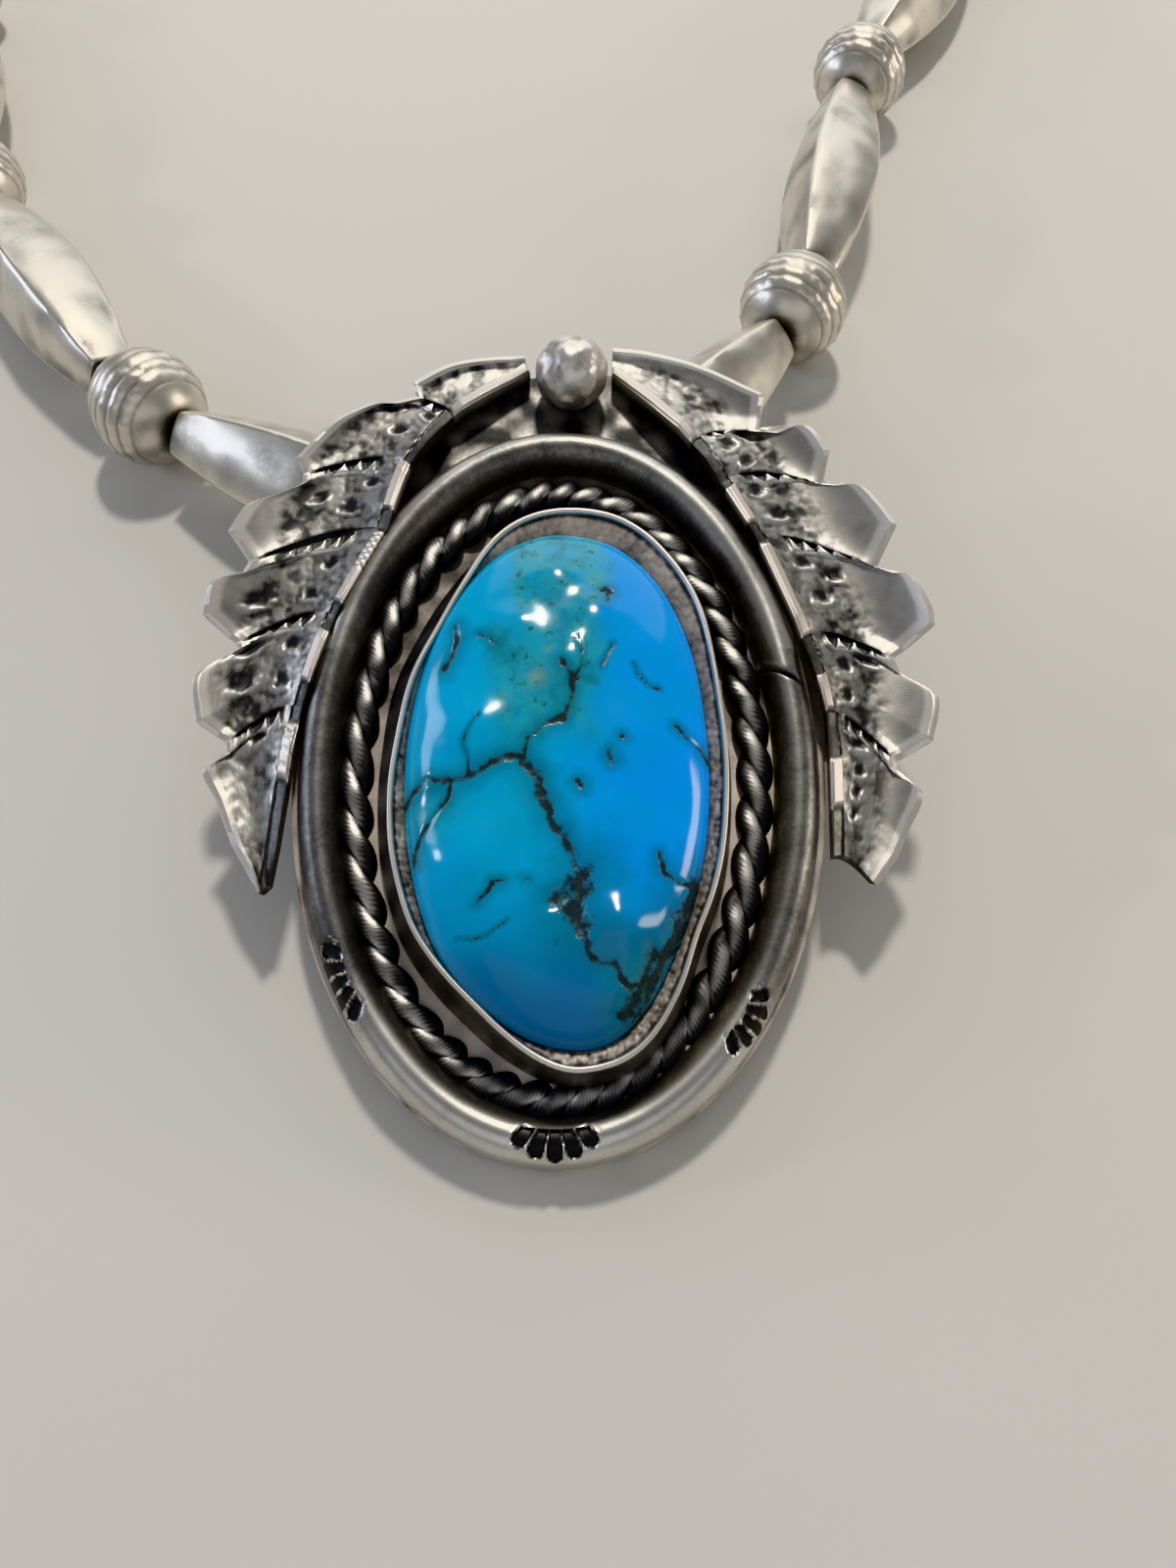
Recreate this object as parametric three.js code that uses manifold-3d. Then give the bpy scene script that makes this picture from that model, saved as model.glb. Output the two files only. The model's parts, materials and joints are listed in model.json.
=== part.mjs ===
// Silver and turquoise necklace, lying flat: a leaf-framed oval pendant on a
// strand of handmade silver beads. Millimetres, +Z up, the pendant's top to +Y.
import * as THREE from "three";
import { mergeVertices } from "three/addons/utils/BufferGeometryUtils.js";
import Module from "manifold-3d";

const wasm = await Module();
wasm.setup();

// ---- driving dimensions ---------------------------------------------------

// How the pendant lies: its foot on the floor, its top leaning on the strand.
const PENDANT_TILT = THREE.MathUtils.degToRad(12);

// Ovals of the pendant, each { half width, half height, centre height }.
const RIM = { a: 12.7, b: 19.3, y: 1.8 };
const ROPE = { a: 10.45, b: 16.9, y: 1.3 };
const BEZEL = { a: 8.75, b: 14.65, y: 0.5 };
// The back plate: as long as the rim, and showing a little at its sides.
const BACK = { a: 14.4, b: 20.55, y: 1.8 };

const PLATE = 0.9;
const RIM_WIDTH = 2.5;
const RIM_HEIGHT = 2.1;
// How far soldered pieces sink into the plate.
const SOLDER_SINK = 0.15;
const ROPE_DIAMETER = 2.3;
const BEZEL_WALL = 0.5;
const BEZEL_HEIGHT = 4.0;
const CLEARANCE = 0.3;
const OVAL_STEPS = 48;

// The stone: a straight girdle and a high dome.
const STONE_GIRDLE_TOP = 3.7;
const STONE_TOP = 7.0;

// The leaves are one sheet each, channelled: high edges and a low middle.
const LEAF_SHEET = 0.8;
const LEAF_MIDDLE = 0.85;
const LEAF_EDGE_RISE = 1.4;
const LEAF_STEPS_ACROSS = 4;

// Each row is one lobe of a leaf's outer edge: its start, two points of its
// crown, its tip, and the notch after it. The inner edge has one point at the
// leaf's root and one for each lobe's notch.
const LEFT_LEAF = {
  inner: [
    [-1.9, 26.5], [-6.4, 23.2], [-8.6, 19.5], [-9.7, 15.3],
    [-12.2, 10.0], [-13.7, 4.7], [-14.8, -4.9],
  ],
  lobes: [
    [[-2.0, 27.5], [-4.2, 27.4], [-6.6, 26.9], [-8.7, 25.6], [-8.4, 24.6]],
    [[-9.8, 24.2], [-11.2, 24.1], [-13.2, 22.8], [-15.2, 20.1], [-14.7, 19.3]],
    [[-14.7, 18.7], [-17.0, 17.2], [-17.7, 16.4], [-18.3, 14.8], [-17.2, 13.3]],
    [[-17.5, 12.5], [-18.8, 11.9], [-19.2, 11.2], [-19.3, 9.8], [-17.6, 8.5]],
    [[-17.5, 8.1], [-18.9, 7.1], [-19.5, 5.9], [-19.1, 3.6], [-17.6, 2.7]],
    [[-17.5, 1.9], [-18.6, 1.0], [-17.8, -0.6], [-16.7, -3.1], [-15.1, -5.6]],
  ],
};
const RIGHT_LEAF = {
  inner: [
    [3.0, 26.3], [7.6, 21.2], [9.1, 18.3], [10.9, 14.9],
    [13.2, 8.7], [14.3, 4.4], [14.2, -3.4],
  ],
  lobes: [
    [[2.8, 28.1], [5.0, 27.8], [8.3, 26.7], [11.7, 24.4], [11.4, 22.2]],
    [[12.8, 22.1], [13.9, 22.3], [14.6, 21.7], [15.3, 20.4], [14.9, 18.6]],
    [[16.0, 18.3], [17.0, 18.1], [17.9, 16.7], [18.6, 15.2], [17.5, 13.0]],
    [[18.5, 12.4], [19.4, 12.0], [20.1, 10.2], [20.2, 9.1], [18.1, 7.6]],
    [[18.4, 6.7], [19.9, 5.5], [20.1, 4.4], [19.6, 2.5], [17.8, 1.6]],
    [[17.7, 0.8], [18.9, -0.3], [18.0, -2.4], [17.3, -3.8], [16.2, -5.2]],
  ],
};

const BALL_RADIUS = 2.15;
const BALL_AT = [0.6, 25.8];
// The back plate reaches out behind the ball and the leaves' roots.
const FLANGE = [
  [0.5, 12.0], [11.0, 17.5], [8.0, 24.4], [2.8, 27.0],
  [-1.6, 26.6], [-6.6, 23.4], [-9.6, 17.5],
];

// A short plain tube on the back carries the pendant on the thread.
const BAIL_RADIUS = 2.0;
const BAIL_LENGTH = 2.2;
const BAIL_SINK = 1.9;
const BAIL_AT = [-1.9, 17.05];
const BAIL_TURN = THREE.MathUtils.degToRad(17);

// The strand: long pillow-shaped beads and round ones, turn about.
const BORE_RADIUS = 1.0;
const THREAD_RADIUS = 0.42;
const THREAD_SIDES = 6;
const ROUND_RADIUS = 3.85;
const ROUND_END_RADIUS = 1.6;
const LONG_LENGTH = 23.3;
const LONG_RADIUS = 3.75;
const LONG_END_RADIUS = 1.9;
const BEAD_GAP = 0.6;
const ROUND_SIDES = 12;
const LONG_SIDES = 8;
// How far a long bead's faces lie inside its four ridges.
const FACE_FLATNESS = 0.84;
// The strand leaves the bail a little below its middle.
const STRAND_DROP = 0.7;
// Where each side's first long bead starts behind the pendant, then a row for
// each long bead: its direction in degrees from +X, and how far it has rolled
// to the right about its own length.
const LEFT_STRAND = {
  start: [-4.8, 16.9],
  beads: [
    { heading: 150.5, roll: 0 },
    { heading: 126, roll: -25 },
    { heading: 107, roll: 10 },
    { heading: 99, roll: -15 },
    { heading: 91, roll: 30 },
    { heading: 77, roll: 5 },
    { heading: 59, roll: -35 },
    { heading: 35, roll: 15 },
  ],
};
const RIGHT_STRAND = {
  start: [0.54, 19],
  beads: [
    { heading: 53, roll: 0 },
    { heading: 77, roll: -22 },
    { heading: 62, roll: 15 },
    { heading: 68, roll: -30 },
    { heading: 84, roll: 10 },
    { heading: 105, roll: 35 },
    { heading: 131, roll: -10 },
    { heading: 159, roll: 20 },
  ],
};

// The clasp: a barrel with a tapered shoulder and a small end on each side.
const CLASP_RADIUS = 2.4;
const CLASP_NECK_RADIUS = 1.7;
const CLASP_END_RADIUS = 1.3;
const CLASP_END = 2.0;
const CLASP_SHOULDER = 1.4;
const CLASP_GAP = 1.3;

// ---- materials ------------------------------------------------------------

function metal(color, roughness) {
  return new THREE.MeshStandardMaterial({ color, roughness, metalness: 1 });
}

const oldSilver = () => metal(0x9a958b, 0.42);
const satinSilver = () => metal(0xbdb8ae, 0.36);
const steelThread = () => metal(0x8c8a86, 0.5);
const turquoise = () => new THREE.MeshStandardMaterial({ color: 0x1593c4, roughness: 0.3, metalness: 0 });

// ---- geometry helpers -----------------------------------------------------

function closed(geometry) {
  const bare = geometry.clone();
  bare.deleteAttribute("normal");
  bare.deleteAttribute("uv");
  return mergeVertices(bare, 1e-4);
}

function toManifold(geometry) {
  const mesh = closed(geometry);
  return new wasm.Manifold(new wasm.Mesh({
    numProp: 3,
    vertProperties: new Float32Array(mesh.attributes.position.array),
    triVerts: new Uint32Array(mesh.index.array),
  }));
}

function fromManifold(solid) {
  const mesh = solid.getMesh();
  const geometry = new THREE.BufferGeometry();
  geometry.setAttribute("position", new THREE.BufferAttribute(mesh.vertProperties, 3));
  geometry.setIndex(new THREE.BufferAttribute(mesh.triVerts, 1));
  geometry.computeVertexNormals();
  return geometry;
}

function mapVertices(geometry, place) {
  const at = geometry.attributes.position;
  const point = new THREE.Vector3();
  for (let i = 0; i < at.count; i += 1) {
    point.fromBufferAttribute(at, i);
    place(point);
    at.setXYZ(i, point.x, point.y, point.z);
  }
  return geometry;
}

// A ring round an oval: section(turn) gives the offset out from the oval and
// the height at each corner of the ring's section.
function ovalRing(oval, corners, stepsRound) {
  const ring = new THREE.TorusGeometry(1, 0.5, corners.length, stepsRound);
  return mapVertices(ring, (p) => {
    const turn = Math.atan2(p.y, p.x);
    const part = Math.atan2(p.z, Math.hypot(p.x, p.y) - 1) / (2 * Math.PI);
    const corner = corners[(Math.round(part * corners.length) + corners.length) % corners.length];
    const onOval = new THREE.Vector2(oval.a * Math.cos(turn), oval.b * Math.sin(turn));
    const out = new THREE.Vector2(Math.cos(turn) / oval.a, Math.sin(turn) / oval.b).normalize();
    p.set(onOval.x + out.x * corner[0], oval.y + onOval.y + out.y * corner[0], corner[1]);
  });
}

// Corners of a half-round or round section, seen from outside the ring.
function arcSection(count, radiusAcross, radiusUp, base) {
  return Array.from({ length: count }, (_, i) => {
    const turn = (2 * Math.PI * i) / count;
    return [radiusAcross * Math.cos(turn), base + radiusUp * Math.sin(turn)];
  });
}

function polygonPlate(points, thickness) {
  const shape = new THREE.Shape(points.map(([x, y]) => new THREE.Vector2(x, y)));
  return new THREE.ExtrudeGeometry(shape, { depth: thickness, bevelEnabled: false });
}

function ovalPoints(oval, count) {
  return Array.from({ length: count }, (_, i) => {
    const turn = (2 * Math.PI * i) / count;
    return [oval.a * Math.cos(turn), oval.y + oval.b * Math.sin(turn)];
  });
}

// ---- the pendant ----------------------------------------------------------

const lift = (BACK.b - BACK.y) * Math.sin(PENDANT_TILT);

function onPendant(x, y, height) {
  return new THREE.Vector3(x, y, height)
    .applyAxisAngle(new THREE.Vector3(1, 0, 0), PENDANT_TILT)
    .add(new THREE.Vector3(0, 0, lift));
}

// Point of a leaf at `along` (0 at its root, 1 at its foot) and `across`
// (0 at the inner edge, 1 at the outer edge).
function leafPoint(leaf, along, across) {
  const outer = leaf.lobes.flat();
  const perLobe = leaf.lobes[0].length;
  const row = Math.round(along * (outer.length - 1));
  const lobe = Math.min(Math.floor(row / perLobe), leaf.lobes.length - 1);
  const within = (row - lobe * perLobe) / (perLobe - 1);
  const [x0, y0] = leaf.inner[lobe];
  const [x1, y1] = leaf.inner[lobe + 1];
  // Neighbouring lobes share an inner point, so each lobe starts just after it.
  const share = 0.08 + 0.92 * within;
  const inner = [x0 + (x1 - x0) * share, y0 + (y1 - y0) * share];
  return new THREE.Vector2(
    inner[0] + (outer[row][0] - inner[0]) * across,
    inner[1] + (outer[row][1] - inner[1]) * across,
  );
}

function leafGeometry(leaf) {
  const rows = leaf.lobes.flat().length - 1;
  const sheet = new THREE.BoxGeometry(1, 1, 1, LEAF_STEPS_ACROSS, rows, 1);
  const mirrored = leaf.lobes[0][0][0] < 0;
  return mapVertices(sheet, (p) => {
    const across = mirrored ? 0.5 - p.x : p.x + 0.5;
    const at = leafPoint(leaf, 0.5 - p.y, across);
    const rise = LEAF_EDGE_RISE * (2 * across - 1) ** 2;
    p.set(at.x, at.y, LEAF_MIDDLE + rise + (p.z > 0 ? LEAF_SHEET : 0));
  });
}

function bailGeometry() {
  const profile = [
    [BORE_RADIUS, -BAIL_LENGTH / 2],
    [BAIL_RADIUS, -BAIL_LENGTH / 2],
    [BAIL_RADIUS, BAIL_LENGTH / 2],
    [BORE_RADIUS, BAIL_LENGTH / 2],
    [BORE_RADIUS, -BAIL_LENGTH / 2],
  ].map(([r, y]) => new THREE.Vector2(r, y));
  return new THREE.LatheGeometry(profile, 16)
    .rotateZ(BAIL_TURN - Math.PI / 2)
    .translate(BAIL_AT[0], BAIL_AT[1], -BAIL_SINK);
}

function settingGeometry() {
  const rimSection = arcSection(8, RIM_WIDTH / 2, RIM_HEIGHT, PLATE)
    .map(([across, up]) => [across, Math.max(up, PLATE - SOLDER_SINK)]);
  const ropeRadius = ROPE_DIAMETER / 2;
  const bezelSection = [
    [0, PLATE - SOLDER_SINK],
    [0, PLATE + BEZEL_HEIGHT],
    [-BEZEL_WALL, PLATE + BEZEL_HEIGHT],
    [-BEZEL_WALL, PLATE - SOLDER_SINK],
  ];
  const parts = [
    polygonPlate(ovalPoints(BACK, OVAL_STEPS), PLATE),
    polygonPlate(FLANGE, PLATE),
    ovalRing(RIM, rimSection, OVAL_STEPS),
    ovalRing(ROPE, arcSection(6, ropeRadius, ropeRadius, PLATE + ropeRadius - SOLDER_SINK), OVAL_STEPS),
    ovalRing(BEZEL, bezelSection, OVAL_STEPS),
    leafGeometry(LEFT_LEAF),
    leafGeometry(RIGHT_LEAF),
    new THREE.SphereGeometry(BALL_RADIUS, 12, 8)
      .rotateX(Math.PI / 2)
      .translate(BALL_AT[0], BALL_AT[1], PLATE + BALL_RADIUS - SOLDER_SINK),
    bailGeometry(),
  ];
  return fromManifold(parts.map(toManifold).reduce((all, part) => all.add(part)));
}

function stoneGeometry() {
  const bottom = PLATE + CLEARANCE;
  const profile = [[0, bottom], [0.97, bottom], [1, bottom + 0.5], [1, STONE_GIRDLE_TOP]];
  const domeSteps = 6;
  for (let i = 1; i < domeSteps; i += 1) {
    const turn = (Math.PI / 2) * (i / domeSteps);
    const rise = STONE_TOP - STONE_GIRDLE_TOP;
    profile.push([Math.cos(turn) ** 0.8, STONE_GIRDLE_TOP + rise * Math.sin(turn)]);
  }
  profile.push([0, STONE_TOP]);
  const inset = BEZEL_WALL + CLEARANCE;
  return new THREE.LatheGeometry(profile.map(([r, y]) => new THREE.Vector2(r, y)), OVAL_STEPS)
    .rotateX(Math.PI / 2)
    .scale(BEZEL.a - inset, BEZEL.b - inset, 1)
    .translate(0, BEZEL.y, 0);
}

// ---- the beads ------------------------------------------------------------

// Lathe profile from end to end along Y, closed through the bore.
function boredBead(halfLength, endRadius, outline, sides) {
  const profile = [
    [BORE_RADIUS, -halfLength],
    [endRadius, -halfLength],
    ...outline,
    [endRadius, halfLength],
    [BORE_RADIUS, halfLength],
    [BORE_RADIUS, -halfLength],
  ].map(([r, y]) => new THREE.Vector2(r, y));
  return new THREE.LatheGeometry(profile, sides);
}

function roundBeadGeometry() {
  const endTurn = Math.acos(ROUND_END_RADIUS / ROUND_RADIUS);
  const outline = [-0.66, -0.33, 0, 0.33, 0.66].map((part) => [
    ROUND_RADIUS * Math.cos(endTurn * part),
    ROUND_RADIUS * Math.sin(endTurn * part),
  ]);
  return boredBead(ROUND_RADIUS * Math.sin(endTurn), ROUND_END_RADIUS, outline, ROUND_SIDES);
}

// Four soft ridges run along a long bead, with bulging faces between them.
function longBeadGeometry() {
  const half = LONG_LENGTH / 2;
  const outline = [-0.72, -0.4, 0, 0.4, 0.72].map((part) => [
    LONG_END_RADIUS + (LONG_RADIUS - LONG_END_RADIUS) * (1 - Math.abs(part) ** 1.8),
    half * part,
  ]);
  const bead = boredBead(half, LONG_END_RADIUS, outline, LONG_SIDES);
  return mapVertices(bead, (p) => {
    const radius = Math.hypot(p.x, p.z);
    const turn = Math.atan2(p.z, p.x);
    const onFace = Math.abs(Math.cos(2 * turn)) < 0.5;
    const flat = onFace && radius > BORE_RADIUS + 0.1 ? FACE_FLATNESS : 1;
    p.set(p.x * flat, p.y, p.z * flat);
  });
}

function place(geometry, material, name, centre, direction) {
  const mesh = new THREE.Mesh(geometry, material);
  mesh.name = name;
  mesh.position.copy(centre);
  mesh.quaternion.setFromUnitVectors(new THREE.Vector3(0, 1, 0), direction);
  return mesh;
}

const roundHalf = ROUND_RADIUS * Math.sin(Math.acos(ROUND_END_RADIUS / ROUND_RADIUS));

// Level direction at a heading in degrees from +X.
function level(heading) {
  const turn = THREE.MathUtils.degToRad(heading);
  return new THREE.Vector3(Math.cos(turn), Math.sin(turn), 0);
}

// Beads of one side from the pendant outwards, and the thread's corners.
function strand(side, plan, startHeight) {
  const beads = [];
  const corners = [];
  const at = new THREE.Vector3(plan.start[0], plan.start[1], startHeight);
  const step = (direction, length) => at.addScaledVector(direction, length);
  plan.beads.forEach(({ heading, roll }, i) => {
    const drop = (ROUND_RADIUS - at.z) / LONG_LENGTH;
    const along = level(heading).setZ(drop).normalize();
    const bead = longBeadGeometry().rotateY(THREE.MathUtils.degToRad(roll));
    corners.push(at.clone().addScaledVector(along, -BEAD_GAP / 2));
    step(along, LONG_LENGTH / 2);
    beads.push(place(bead, satinSilver(), `long_bead_${side}_${i + 1}`, at, along));
    step(along, LONG_LENGTH / 2 + BEAD_GAP / 2);
    corners.push(at.clone());
    at.z = ROUND_RADIUS;
    if (i + 1 < plan.beads.length) {
      const after = plan.beads[i + 1].heading;
      const between = level((heading + after) / 2);
      step(between, BEAD_GAP / 2 + roundHalf);
      beads.push(place(roundBeadGeometry(), satinSilver(), `round_bead_${side}_${i + 1}`, at, between));
      step(between, roundHalf + BEAD_GAP / 2);
      corners.push(at.clone());
      step(level(after), BEAD_GAP / 2);
    }
  });
  return { beads, corners, end: at.clone() };
}

// A thread runs straight from corner to corner of its route.
class Route extends THREE.Curve {
  constructor(corners) {
    super();
    this.corners = corners;
  }

  getPoint(t, target = new THREE.Vector3()) {
    const along = t * (this.corners.length - 1);
    const i = Math.min(Math.floor(along), this.corners.length - 2);
    return target.lerpVectors(this.corners[i], this.corners[i + 1], along - i);
  }

  getUtoTmapping(u) {
    return u;
  }
}

function threadGeometry(corners) {
  const circle = new THREE.EllipseCurve(0, 0, THREAD_RADIUS, THREAD_RADIUS);
  const section = new THREE.Shape(circle.getPoints(THREAD_SIDES).slice(0, THREAD_SIDES));
  return new THREE.ExtrudeGeometry(section, {
    steps: corners.length - 1,
    bevelEnabled: false,
    extrudePath: new Route(corners),
  });
}

function claspGeometry(length) {
  const half = length / 2;
  const neck = half - CLASP_END;
  const shoulder = neck - CLASP_SHOULDER;
  const profile = [
    [0, -half],
    [CLASP_END_RADIUS, -half],
    [CLASP_NECK_RADIUS, -neck],
    [CLASP_RADIUS, -shoulder],
    [CLASP_RADIUS, shoulder],
    [CLASP_NECK_RADIUS, neck],
    [CLASP_END_RADIUS, half],
    [0, half],
  ];
  return new THREE.LatheGeometry(profile.map(([r, y]) => new THREE.Vector2(r, y)), 12);
}

// ---- assembly -------------------------------------------------------------

const necklace = new THREE.Group();

const pendant = new THREE.Group();
pendant.rotation.x = PENDANT_TILT;
pendant.position.z = lift;
const setting = new THREE.Mesh(settingGeometry(), oldSilver());
setting.name = "pendant_setting";
const stone = new THREE.Mesh(stoneGeometry(), turquoise());
stone.name = "turquoise_stone";
pendant.add(setting, stone);
necklace.add(pendant);

const bail = onPendant(BAIL_AT[0], BAIL_AT[1], -BAIL_SINK);
const left = strand("left", LEFT_STRAND, bail.z - STRAND_DROP);
const right = strand("right", RIGHT_STRAND, bail.z - STRAND_DROP);
necklace.add(...left.beads, ...right.beads);

const claspAlong = right.end.clone().sub(left.end);
const claspLength = claspAlong.length() - 2 * CLASP_GAP;
claspAlong.normalize();
const claspMiddle = left.end.clone().add(right.end).multiplyScalar(0.5);
const clasp = place(claspGeometry(claspLength), satinSilver(), "clasp", claspMiddle, claspAlong);
necklace.add(clasp);

// Behind the pendant the thread goes straight through the bail.
const bailAlong = onPendant(Math.cos(BAIL_TURN), Math.sin(BAIL_TURN), 0).sub(onPendant(0, 0, 0));
const bailEnd = (sign) => bail.clone().addScaledVector(bailAlong, sign * (BAIL_LENGTH / 2 + CLEARANCE));
const leftEnd = left.corners.pop();
const rightEnd = right.corners.pop();
leftEnd.lerp(left.corners.at(-1), 0.02);
rightEnd.lerp(right.corners.at(-1), 0.02);
const threadCorners = [
  leftEnd,
  ...left.corners.reverse(),
  bailEnd(-1),
  bailEnd(1),
  ...right.corners,
  rightEnd,
];
const thread = new THREE.Mesh(threadGeometry(threadCorners), steelThread());
thread.name = "stringing_thread";
necklace.add(thread);

// The origin is the middle of the footprint, on the floor.
necklace.updateMatrixWorld(true);
const extent = new THREE.Box3().setFromObject(necklace, true);
const middle = extent.getCenter(new THREE.Vector3());
necklace.position.set(-middle.x, -middle.y, -extent.min.z);
necklace.updateMatrixWorld(true);

export default necklace;
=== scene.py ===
"""Silver and turquoise bead necklace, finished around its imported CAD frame.

Sizes are in millimetres unless a name says otherwise, and the pendant's pieces
are shaped in the pendant's own plane before they are laid in their place.
"""
import json
import math
from collections import namedtuple
from functools import partial

import bmesh
import bpy
import numpy as np
from mathutils import Matrix, Vector, noise


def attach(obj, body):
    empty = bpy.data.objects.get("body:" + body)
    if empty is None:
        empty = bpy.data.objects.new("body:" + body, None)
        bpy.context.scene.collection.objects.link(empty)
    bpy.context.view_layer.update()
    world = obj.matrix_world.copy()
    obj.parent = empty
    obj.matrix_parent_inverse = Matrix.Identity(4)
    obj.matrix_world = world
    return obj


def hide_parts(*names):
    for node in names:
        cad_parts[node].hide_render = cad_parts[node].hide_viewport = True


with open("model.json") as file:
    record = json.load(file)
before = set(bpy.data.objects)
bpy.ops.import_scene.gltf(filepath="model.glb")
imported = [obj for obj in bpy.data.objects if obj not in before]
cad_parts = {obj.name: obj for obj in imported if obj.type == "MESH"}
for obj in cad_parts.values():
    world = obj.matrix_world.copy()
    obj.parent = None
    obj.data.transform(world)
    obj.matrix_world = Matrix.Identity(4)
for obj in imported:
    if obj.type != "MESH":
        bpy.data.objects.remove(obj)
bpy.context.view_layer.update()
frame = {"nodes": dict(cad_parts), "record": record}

bl_info = {
    "name": "Turquoise necklace",
    "version": (1, 0, 0),
    "blender": (4, 5, 0),
    "location": "3D View > Sidebar > Necklace",
    "description": "Builds a silver bead necklace with a turquoise pendant",
    "category": "Add Mesh",
}

MM = 0.001

# ---- sizes ------------------------------------------------------------------

# Ovals round the stone, each with its middle's height above the pendant's own. The rope lies in the channel.
Oval = namedtuple("Oval", "half_width half_height middle")
RIM = Oval(12.7, 19.3, 1.8)
ROPE = Oval(10.45, 16.9, 1.3)
BEZEL = Oval(8.75, 14.65, 0.5)
BACK = Oval(14.4, 20.55, 1.8)
STONE = Oval(7.75, 13.75, 0.3)
CHANNEL = Oval(11.9, 18.5, 1.8)

PLATE = 0.9
PLATE_ROUNDING = 0.12
# The flat of the plate ends this part of the way to its edge.
PLATE_FLAT = 0.995
SOLDER_SINK = 0.15
RIM_WIDTH = 2.5
RIM_HEIGHT = 2.1
ROPE_BASE = PLATE + 0.7
ROPE_LENGTH = 87.0
BEZEL_TOP = 4.9
BEZEL_LIP = 0.36
# Where the bezel's wall leans in over the stone, and over how much of its turn.
LEAN_AT = math.radians(148)
LEAN_SPREAD = math.radians(30)
STONE_FOOT = 2.0
STONE_GIRDLE = 4.4
STONE_TOP = 7.0
# The stone is polished over this part of the way to its edge.
STONE_POLISHED = 0.9
BALL_RADIUS = 2.15
BALL_AT = (0.6, 25.8)
# The flange behind the ball and the leaves' roots.
FLANGE = [
    (0.5, -5.0), (15.0, 2.5), (13.5, 14.5), (10.2, 23.8), (3.0, 27.2),
    (-1.8, 27.0), (-8.6, 24.2), (-12.6, 15.5), (-15.2, 2.5),
]
FLANGE_MIDDLE = (0.5, 16.0)
# The back face's mount lies this far below the middle of the pendant.
MOUNT_BELOW_MIDDLE = 12.0

BAIL_RADIUS = 2.0
BAIL_LENGTH = 2.2
BAIL_SINK = 1.9
BAIL_AT = (-1.9, 17.05)
BAIL_TURN = math.radians(17)
BORE_RADIUS = 1.0

SIDES = ("left", "right")
LONG_END_RADIUS = 1.9
ROUND_END_RADIUS = 1.6
# A long bead's four faces, each with a corner at these degrees from its middle.
FACE_CORNERS = [-45, -43.2, -40, -35, -29, -22, -14, -6, 2, 10, 18, 26, 33, 38.5, 42, 43.6]
LONG_BEAD_STEPS = 4 * len(FACE_CORNERS)
# Each face is an arc about a middle this far behind the bead's own, as a part of the bead's reach.
FACE_OFFSET = 1.106
FACE_OFFSET_SQUARED = 1.223
FACE_ARC_SQUARED = 3.787
# A ridge is polished down to this part of a sharp one.
RIDGE_TOP = 0.985
# Where a round bead's rings and the grooves between them are, along its face from its middle.
RING_CRESTS = (-2.05, -1.1, -0.15)
RING_VALLEYS = (-2.55, -1.58, -0.63, 0.35, 1.2)
RING_LUMPS = 19

# The clasp's barrel, the neck and the end it narrows to, and the pin that grips the cable.
CLASP_BODY = 2.4
CLASP_NECK = 1.7
CLASP_END = 1.3
CLASP_PIN = 0.45
CLASP_PIN_LENGTH = 1.35
UPWARDS = (0, 0, 1)

# A fan of five petals punched into the rim.
Fan = namedtuple("Fan", "x y size")
FANS = [Fan(-10.75, -9.95, 1.1), Fan(0.0, -17.5, 1.1), Fan(9.45, -11.9, 0.95)]
PETAL = math.radians(21)
FAN_ROOT = 1.05
FAN_REACH = 3.2
# Where the ends of the rim's wire meet.
RIM_JOINT = (12.6, 6.3)

# A row for each lobe of a leaf, from root to foot: its outer edge, then the
# inner break below it, the polished strip along its inner edge (from and to,
# as parts of the lobe), and whether that strip is hatched.
Lobe = namedtuple("Lobe", "start crown shoulder tip notch inner strip hatched", defaults=[False])
LEFT_ROOT = (-1.9, 26.5)
LEFT_LEAF = [
    Lobe((-2.0, 27.5), (-4.2, 27.4), (-6.6, 26.9), (-8.7, 25.6), (-8.4, 24.6), (-6.4, 23.2), (0.0, 0.98)),
    Lobe((-9.8, 24.2), (-11.2, 24.1), (-13.2, 22.8), (-15.2, 20.1), (-14.7, 19.3), (-8.6, 19.5), (0.0, 0.0)),
    Lobe((-14.7, 18.7), (-17.0, 17.2), (-17.7, 16.4), (-18.3, 14.8), (-17.2, 13.3), (-9.7, 15.3), (0.0, 0.7)),
    Lobe(
        (-17.5, 12.5), (-18.8, 11.9), (-19.2, 11.2), (-19.3, 9.8), (-17.6, 8.5), (-12.2, 10.0), (0.05, 0.87),
        hatched=True,
    ),
    Lobe((-17.5, 8.1), (-18.9, 7.1), (-19.5, 5.9), (-19.1, 3.6), (-17.6, 2.7), (-13.7, 4.7), (0.2, 0.75)),
    Lobe(
        (-17.5, 1.9), (-18.6, 1.0), (-17.8, -0.6), (-16.7, -3.1), (-15.1, -5.6), (-14.8, -4.9), (0.1, 0.43),
        hatched=True,
    ),
]
RIGHT_ROOT = (3.0, 26.3)
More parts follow.
